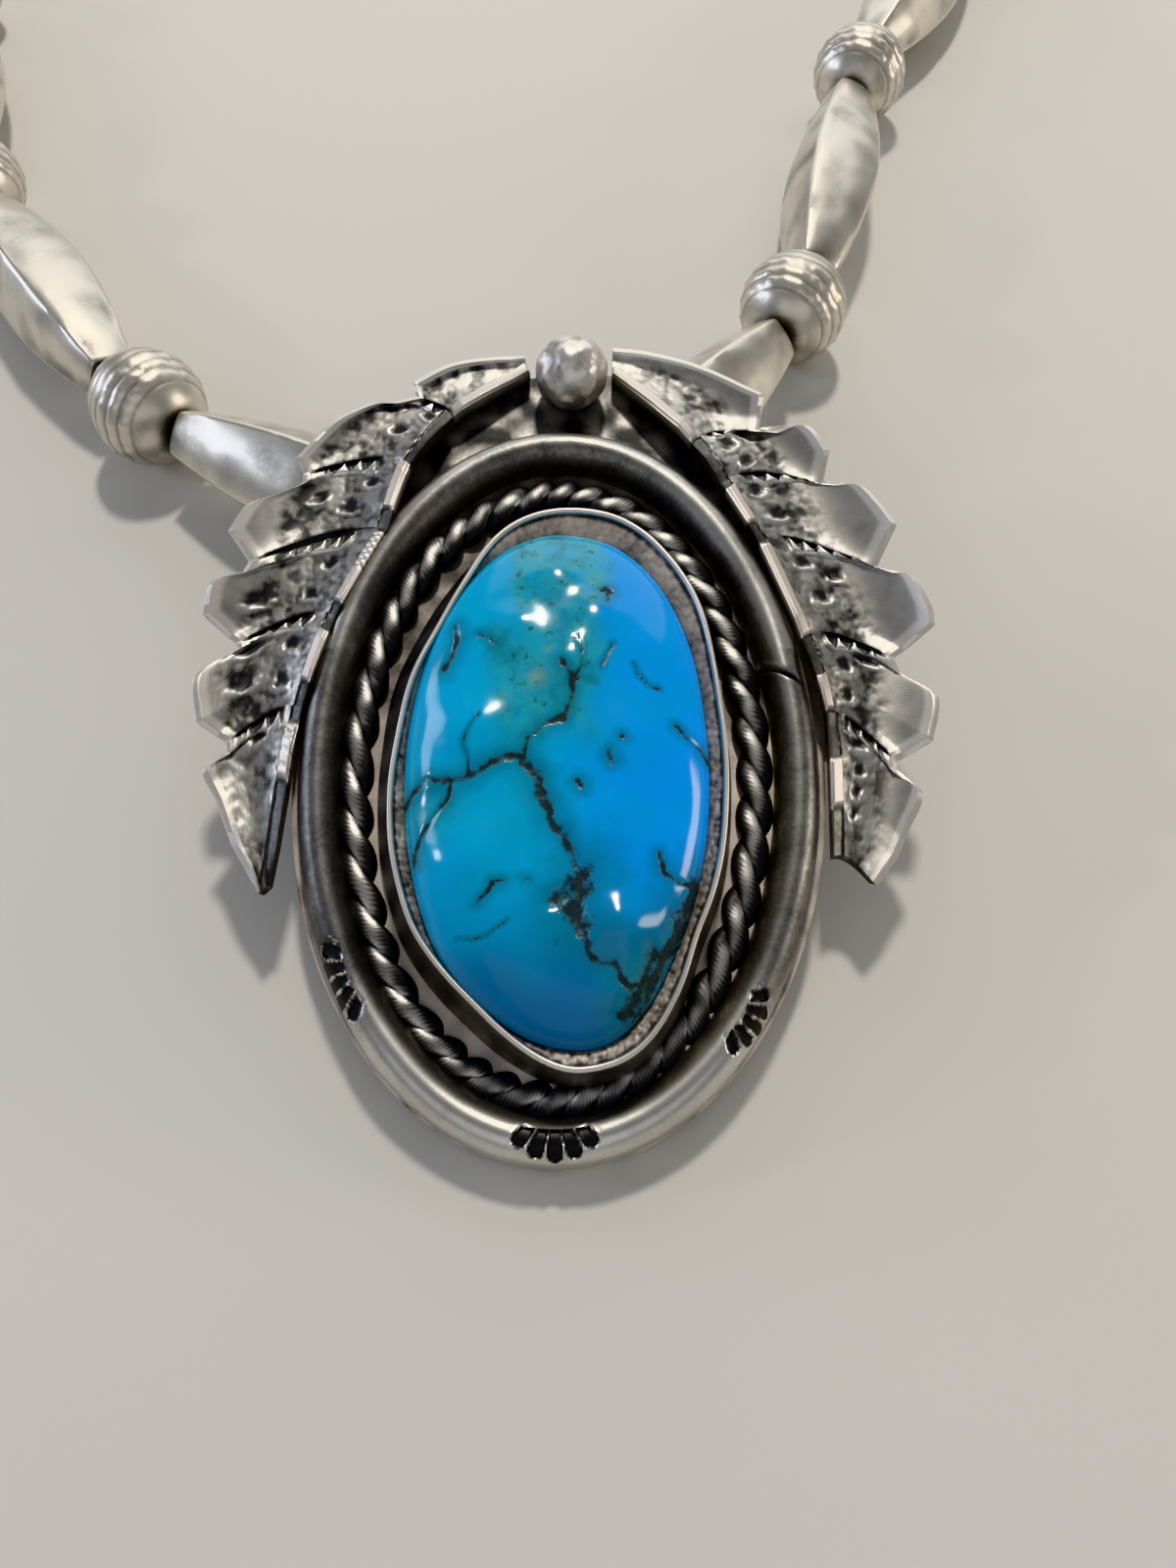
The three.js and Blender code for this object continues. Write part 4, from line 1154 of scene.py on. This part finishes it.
# Lights, in metres from the middle of the pendant, which they all face.
Lamp = namedtuple("Lamp", "name place size power colour")
LAMPS = [
    Lamp("ceiling_lamp", (0.03, 0.36, 0.55), (0.06, 0.06), 2.0, "#FFF8EC"),
    Lamp("side_lamp", (-0.55, 0.06, 0.24), (0.06, 0.05), 0.35, "#DCE8FF"),
    Lamp("window", (-0.75, 0.35, 0.24), (0.3, 0.24), 1.0, "#E4ECFF"),
    Lamp("wall", (0.75, 0.05, 0.2), (0.3, 0.2), 1.3, "#FFF4E6"),
    Lamp("back_panel", (0.1, 0.85, 0.4), (1.3, 0.75), 2.8, "#FFFFFF"),
    Lamp("front", (-0.05, -0.6, 0.45), (1.2, 0.6), 1.0, "#FFFFFF"),
]
# Where the camera stands from the middle of the pendant, and how far it looks up from straight down.
CAMERA_AT = (1.57, -31.41, 59.56)
CAMERA_TILT = math.radians(30.5)
CAMERA_LENS = 27.05
FLOOR_REACH = 1.5
WORLD_STRENGTH = 0.36


def area_light(lamp, target):
    """A soft oblong light that faces a point."""
    data = bpy.data.lights.new(lamp.name, "AREA")
    data.shape = "RECTANGLE"
    data.size, data.size_y = lamp.size
    data.energy = lamp.power
    data.color = linear(lamp.colour)[:3]
    light = bpy.data.objects.new(lamp.name, data)
    light.location = target + Vector(lamp.place)
    light.rotation_euler = (target - light.location).to_track_quat("-Z", "Y").to_euler()
    bpy.context.scene.collection.objects.link(light)


def build_stage():
    """The floor, the light and the camera."""
    scene = bpy.context.scene
    bm = bmesh.new()
    bmesh.ops.create_grid(bm, x_segments=4, y_segments=4, size=FLOOR_REACH)
    mesh = bpy.data.meshes.new("studio_floor")
    bm.to_mesh(mesh)
    bm.free()
    mesh.materials.append(material_named("matt_studio_board"))
    floor = bpy.data.objects.new("studio_floor", mesh)
    scene.collection.objects.link(floor)

    middle = pendant_matrix().to_translation()
    middle.z = 0.0
    for lamp in LAMPS:
        area_light(lamp, middle)

    world = bpy.data.worlds.new("studio")
    world.use_nodes = True
    scene.world = world
    background = world.node_tree.nodes["Background"]
    background.inputs["Color"].default_value = linear("#C9CDD2")
    background.inputs["Strength"].default_value = WORLD_STRENGTH
    # Colours come out as their hex values say, with a soft shoulder for the highlights.
    scene.view_settings.view_transform = "Khronos PBR Neutral"

    data = bpy.data.cameras.new("camera")
    data.sensor_width = 36.0
    data.lens = CAMERA_LENS
    data.clip_start = 0.001
    camera = bpy.data.objects.new("camera", data)
    camera.location = middle + Vector(CAMERA_AT) * MM
    camera.rotation_euler = (CAMERA_TILT, 0.0, 0.0)
    scene.collection.objects.link(camera)
    scene.camera = camera


# ---- add-on ----------------------------------------------------------------------


def colour_property(name, description, code):
    """A colour that a user may change, given as an sRGB hex value."""
    return bpy.props.FloatVectorProperty(
        name=name, description=description, default=linear(code), size=4, min=0.0, max=1.0, subtype="COLOR"
    )


def length_property(name, description, size):
    """A length that a user may change, given in millimetres and kept in metres."""
    return bpy.props.FloatProperty(
        name=name, description=description, default=size * MM, min=0.0, precision=5,
        subtype="DISTANCE", unit="LENGTH",
    )


class NecklaceSizes(bpy.types.PropertyGroup):
    """Sizes of the necklace that its CAD model leaves open."""

    rope_wire: length_property("Rope wire", "Radius of each wire of the rope", 0.5)
    rope_spread: length_property("Rope spread", "How far each wire is from the rope's middle", 0.33)
    rope_twists: bpy.props.IntProperty(
        name="Rope twists", description="Turns of the rope round the bezel", default=21, min=1
    )
    punch_depth: length_property("Punch depth", "Depth of the fans punched into the rim", 0.3)
    leaf_relief: bpy.props.FloatProperty(
        name="Leaf relief", description="How deeply the leaves are chiselled",
        default=1.0, min=0.0, subtype="FACTOR",
    )
    cut_face: length_property("Leaf cut face", "How wide the leaves' bent-up edges show", 0.34)
    vein_depth: length_property("Vein depth", "How far the matrix lies below the polish of the stone", 0.2)
    bead_dents: length_property("Bead dents", "Depth of the soft dents in the long beads", 0.1)
    bead_rings: length_property("Bead rings", "Height of the rings on the round beads", 0.14)


class NecklaceColours(bpy.types.PropertyGroup):
    """Colours of the necklace's finishes and of its floor."""

    silver: colour_property("Silver", "Rubbed silver of the setting", "#E3E0DA")
    bead_silver: colour_property("Bead silver", "Satin silver of the beads", "#DDD8CC")
    oxide: colour_property("Oxide", "Sulphide tarnish in the recesses", "#434344")
    blush: colour_property("Blush", "Warm, matt silver beside solder joints", "#D6C8BD")
    turquoise: colour_property("Turquoise", "Main blue of the stone", "#00A7E2")
    deep_turquoise: colour_property("Deep turquoise", "Blue of the stone's right side", "#009AFF")
    green_turquoise: colour_property("Green turquoise", "Washes over the blue", "#04A0B8")
    matrix: colour_property("Matrix", "Host rock in the stone's veins", "#1A1D1A")
    floor: colour_property("Floor", "Board under the necklace", "#D8D5CF")


class NECKLACE_OT_setting(bpy.types.Operator):
    """Build the plate, rim, rope, bezel, ball and bail of the pendant"""

    bl_idname = "necklace.setting"
    bl_label = "Pendant setting"

    def execute(self, context):
        build_plate()
        build_rim(context.scene.necklace_sizes)
        build_rope(context.scene.necklace_sizes)
        build_bezel()
        build_ball()
        build_bail()
        return {"FINISHED"}


class NECKLACE_OT_leaves(bpy.types.Operator):
    """Build the two leaves beside the stone"""

    bl_idname = "necklace.leaves"
    bl_label = "Leaves"

    def execute(self, context):
        sizes = context.scene.necklace_sizes
        build_leaf("left_leaf", LEFT_ROOT, LEFT_LEAF, LEFT_PITS, LEFT_SATIN, sizes)
        build_leaf("right_leaf", RIGHT_ROOT, RIGHT_LEAF, RIGHT_PITS, RIGHT_SATIN, sizes)
        return {"FINISHED"}


class NECKLACE_OT_stone(bpy.types.Operator):
    """Build the turquoise"""

    bl_idname = "necklace.stone"
    bl_label = "Turquoise"

    def execute(self, context):
        build_stone(context.scene.necklace_sizes)
        return {"FINISHED"}


class NECKLACE_OT_long_beads(bpy.types.Operator):
    """Build the long beads of both strands"""

    bl_idname = "necklace.long_beads"
    bl_label = "Long beads"

    def execute(self, context):
        for side in SIDES:
            for i in range(1, 9):
                build_long_bead(side, i, context.scene.necklace_sizes)
        return {"FINISHED"}


class NECKLACE_OT_round_beads(bpy.types.Operator):
    """Build the round beads of both strands"""

    bl_idname = "necklace.round_beads"
    bl_label = "Round beads"

    def execute(self, context):
        for side in SIDES:
            for i in range(1, 8):
                build_round_bead(side, i, context.scene.necklace_sizes)
        return {"FINISHED"}


class NECKLACE_OT_findings(bpy.types.Operator):
    """Build the clasp and finish the stringing cable"""

    bl_idname = "necklace.findings"
    bl_label = "Clasp and cable"

    def execute(self, context):
        build_clasp()
        finish_thread()
        return {"FINISHED"}


class NECKLACE_OT_stage(bpy.types.Operator):
    """Lay the floor and set the lights and the camera"""

    bl_idname = "necklace.stage"
    bl_label = "Stage"

    def execute(self, context):
        build_stage()
        return {"FINISHED"}


OPERATORS = [
    NECKLACE_OT_setting,
    NECKLACE_OT_leaves,
    NECKLACE_OT_stone,
    NECKLACE_OT_long_beads,
    NECKLACE_OT_round_beads,
    NECKLACE_OT_findings,
    NECKLACE_OT_stage,
]


class NECKLACE_PT_parts(bpy.types.Panel):
    """Lists the necklace's pieces, sizes and colours"""

    bl_idname = "NECKLACE_PT_parts"
    bl_label = "Turquoise necklace"
    bl_space_type = "VIEW_3D"
    bl_region_type = "UI"
    bl_category = "Necklace"

    def draw(self, context):
        for operator in OPERATORS:
            self.layout.operator(operator.bl_idname)
        for group in (context.scene.necklace_sizes, context.scene.necklace_colours):
            for key in group.__annotations__:
                self.layout.prop(group, key)


CLASSES = [NecklaceSizes, NecklaceColours, *OPERATORS, NECKLACE_PT_parts]


def register():
    """Makes the add-on's classes and settings known to Blender."""
    for cls in CLASSES:
        bpy.utils.register_class(cls)
    bpy.types.Scene.necklace_sizes = bpy.props.PointerProperty(type=NecklaceSizes)
    bpy.types.Scene.necklace_colours = bpy.props.PointerProperty(type=NecklaceColours)


def unregister():
    """Takes the add-on's classes and settings away again."""
    del bpy.types.Scene.necklace_colours
    del bpy.types.Scene.necklace_sizes
    for cls in reversed(CLASSES):
        bpy.utils.unregister_class(cls)


def main():
    """Builds every piece and the stage."""
    register()
    bpy.ops.necklace.setting()
    bpy.ops.necklace.leaves()
    bpy.ops.necklace.stone()
    bpy.ops.necklace.long_beads()
    bpy.ops.necklace.round_beads()
    bpy.ops.necklace.findings()
    bpy.ops.necklace.stage()


if __name__ == "__main__":
    main()
